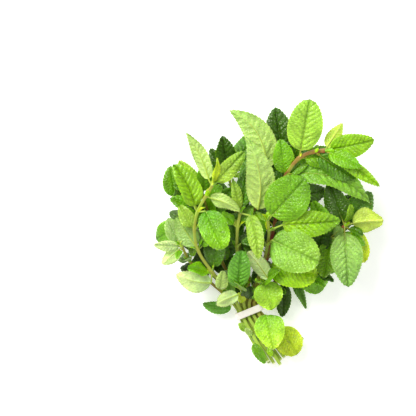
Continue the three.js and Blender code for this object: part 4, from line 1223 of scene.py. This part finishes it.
stalk_objects = []
for number, sprig in enumerate(SPRIGS):
    paths = [stalk_path(leaf) for leaf in leaves[number]]
    source = curves_object(sprig["name"] + "_stalk_lines", paths)
    values = {
        "Step": STALK_STEP * MM, "Side": STALK_SIDE * MM, "Corner": STALK_SIDE / 2 * MM,
        "Corner Points": STALK_CORNER_POINTS, "Redness": sprig["red"] * STALK_REDNESS, "Finish": stem_finish,
    }
    stalk_objects.append(baked(sprig["name"] + "_stalks", source, SWEEP, SWEEP_INPUTS, values))
print("stalk faces:", sum(len(o.data.polygons) for o in stalk_objects))

# %% [markdown]
# ## The band
#
# The bunch is tied with a flat pale band, wound twice round the neck with its end tucked under. A plain ring
# would be simpler, but it wouldn't show one turn lying a little over the other. So a path winds round the
# neck, and a thin section with rounded edges is carried along it.

# %% Wind the band
BAND_TURNS, BAND_POINTS = 2, 160
BAND_START = 0.62
NECK_ROUNDNESS = 0.42
FIRST_GAP, TURN_GAP = 0.15, 0.45
SLIDE_FROM, SLIDE_LENGTH, SLIDE_WANDER = -0.7, 1.4, 0.25


def signed_power(value, power):
    """A power of a number's size, with the number's own sign."""
    return math.copysign(abs(value) ** power, value)


def neck_outline(turn, grow):
    """A point on the rounded box round the stems, at a share of a full turn, in the band's own plane."""
    half, low, high = BAND_HALF_SPAN + grow, BAND_THICKNESS - grow, BAND_HEIGHT + BAND_THICKNESS + grow
    angle = 2 * math.pi * turn
    x = half * signed_power(math.cos(angle), NECK_ROUNDNESS)
    z = (high + low) / 2 + (high - low) / 2 * signed_power(math.sin(angle), NECK_ROUNDNESS)
    return x, z


def band_path():
    """The line of the band: its place in the band's plane, and how far it has slid along the neck."""
    rows = []
    for i in range(BAND_POINTS):
        share = i / (BAND_POINTS - 1)
        turn = share * BAND_TURNS + BAND_START
        x, z = neck_outline(turn, FIRST_GAP + TURN_GAP * share)
        rows.append((x, z, SLIDE_FROM + SLIDE_LENGTH * share + SLIDE_WANDER * math.sin(7 * turn)))
    return rows


band_rows = band_path()
print("length of the band, mm:", round(sum(math.dist(a, b) for a, b in zip(band_rows, band_rows[1:]))))

# %% Carry the band's section along its line
STRIP_HALF_WIDTH = BAND_WIDTH / 2 - 0.7
STRIP_HALF_THICKNESS = 0.12
SECTION = [(-1, 0), (-0.96, 1), (-0.5, 1), (0, 1), (0.5, 1), (0.96, 1), (1, 0)]
SECTION += [(0.96, -1), (0.5, -1), (0, -1), (-0.5, -1), (-0.96, -1)]
LOWEST_BAND = 0.05

band_points, band_faces = [], []
for i, (x, z, slide) in enumerate(band_rows):
    ahead = band_rows[min(i + 1, len(band_rows) - 1)]
    behind = band_rows[max(i - 1, 0)]
    run = unit(np.array([ahead[0] - behind[0], ahead[1] - behind[1]]))
    out = np.array([run[1], -run[0]])
    for along, level in SECTION:
        crinkle = 0.05 * math.sin(i * 1.7 + along * 3) + 0.04 * math.sin(i * 0.6 - along * 5)
        shift = STRIP_HALF_THICKNESS * level + crinkle
        point = ACROSS * (x + out[0] * shift) + DOWN * (slide + along * STRIP_HALF_WIDTH)
        band_points.append((point + np.array([0, 0, max(z + out[1] * shift, LOWEST_BAND)])) * MM)
count = len(SECTION)
for i in range(len(band_rows) - 1):
    for corner in range(count):
        a, b = i * count + corner, i * count + (corner + 1) % count
        band_faces.append((a, b, b + count, a + count))
band_faces.append(tuple(reversed(range(count))))
band_faces.append(tuple(range((len(band_rows) - 1) * count, len(band_rows) * count)))

band_mesh = bpy.data.meshes.new("neck_band")
band_mesh.from_pydata([tuple(point) for point in band_points], [], band_faces)
band_mesh.shade_smooth()
band = bpy.data.objects.new("neck_band", band_mesh)
scene.collection.objects.link(band)
print("band faces:", len(band_mesh.polygons))

# %% [markdown]
# ## The band's finish
#
# The band is uncoated cream paper: dull, a little fibrous, and warmer than the floor. A plain colour would
# do from far off. Up close, clumps of pulp of about 2 mm give it faint clouds and a slightly rough face.

# %% Cream paper
PULP_SIZE = 2.38
band_finish, tree, shader = new_finish("cream_paper_band", {"Roughness": 0.6})
place = add_node(tree, "ShaderNodeTexCoord")
fibres = add_node(tree, "ShaderNodeTexNoise", {}, {"Scale": 1 / (PULP_SIZE * MM), "Detail": 4.0},
                  {"Vector": place.outputs["Object"]})
tint = add_node(tree, "ShaderNodeMix", {"data_type": "RGBA"},
                {6: (*linear("#EFE3D4"), 1), 7: (*linear("#FBF7F0"), 1)}, {0: fibres.outputs["Fac"]})
tree.links.new(tint.outputs[2], shader.inputs["Base Color"])
rough = add_node(tree, "ShaderNodeBump", {}, {"Strength": 0.3, "Distance": 0.2 * MM},
                 {"Height": fibres.outputs["Fac"]})
tree.links.new(rough.outputs["Normal"], shader.inputs["Normal"])
band_mesh.materials.append(band_finish)
print("material:", band_finish.name)

# %% [markdown]
# ## Join each sprig and tie it to the model
#
# The leaves, stalks and stem of a sprig are one living piece, so they become one mesh, which stands for
# the sprig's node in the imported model. They could stay apart and share the node, but one mesh is what
# someone who picks up the sprig would expect. The band stands for its own node.

# %% One object for each sprig
for number, sprig in enumerate(SPRIGS):
    bpy.ops.object.select_all(action="DESELECT")
    parts = [leaf_objects[number], stalk_objects[number], stem_objects[number]]
    for part in parts:
        part.select_set(True)
    bpy.context.view_layer.objects.active = parts[0]
    bpy.ops.object.join()
    piece = parts[0]
    piece.name = sprig["name"] + "_mint"
    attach(piece, "root")
    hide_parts("sprig_" + sprig["name"])
    print(piece.name, len(piece.data.polygons), "faces")

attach(band, "root")
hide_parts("band")
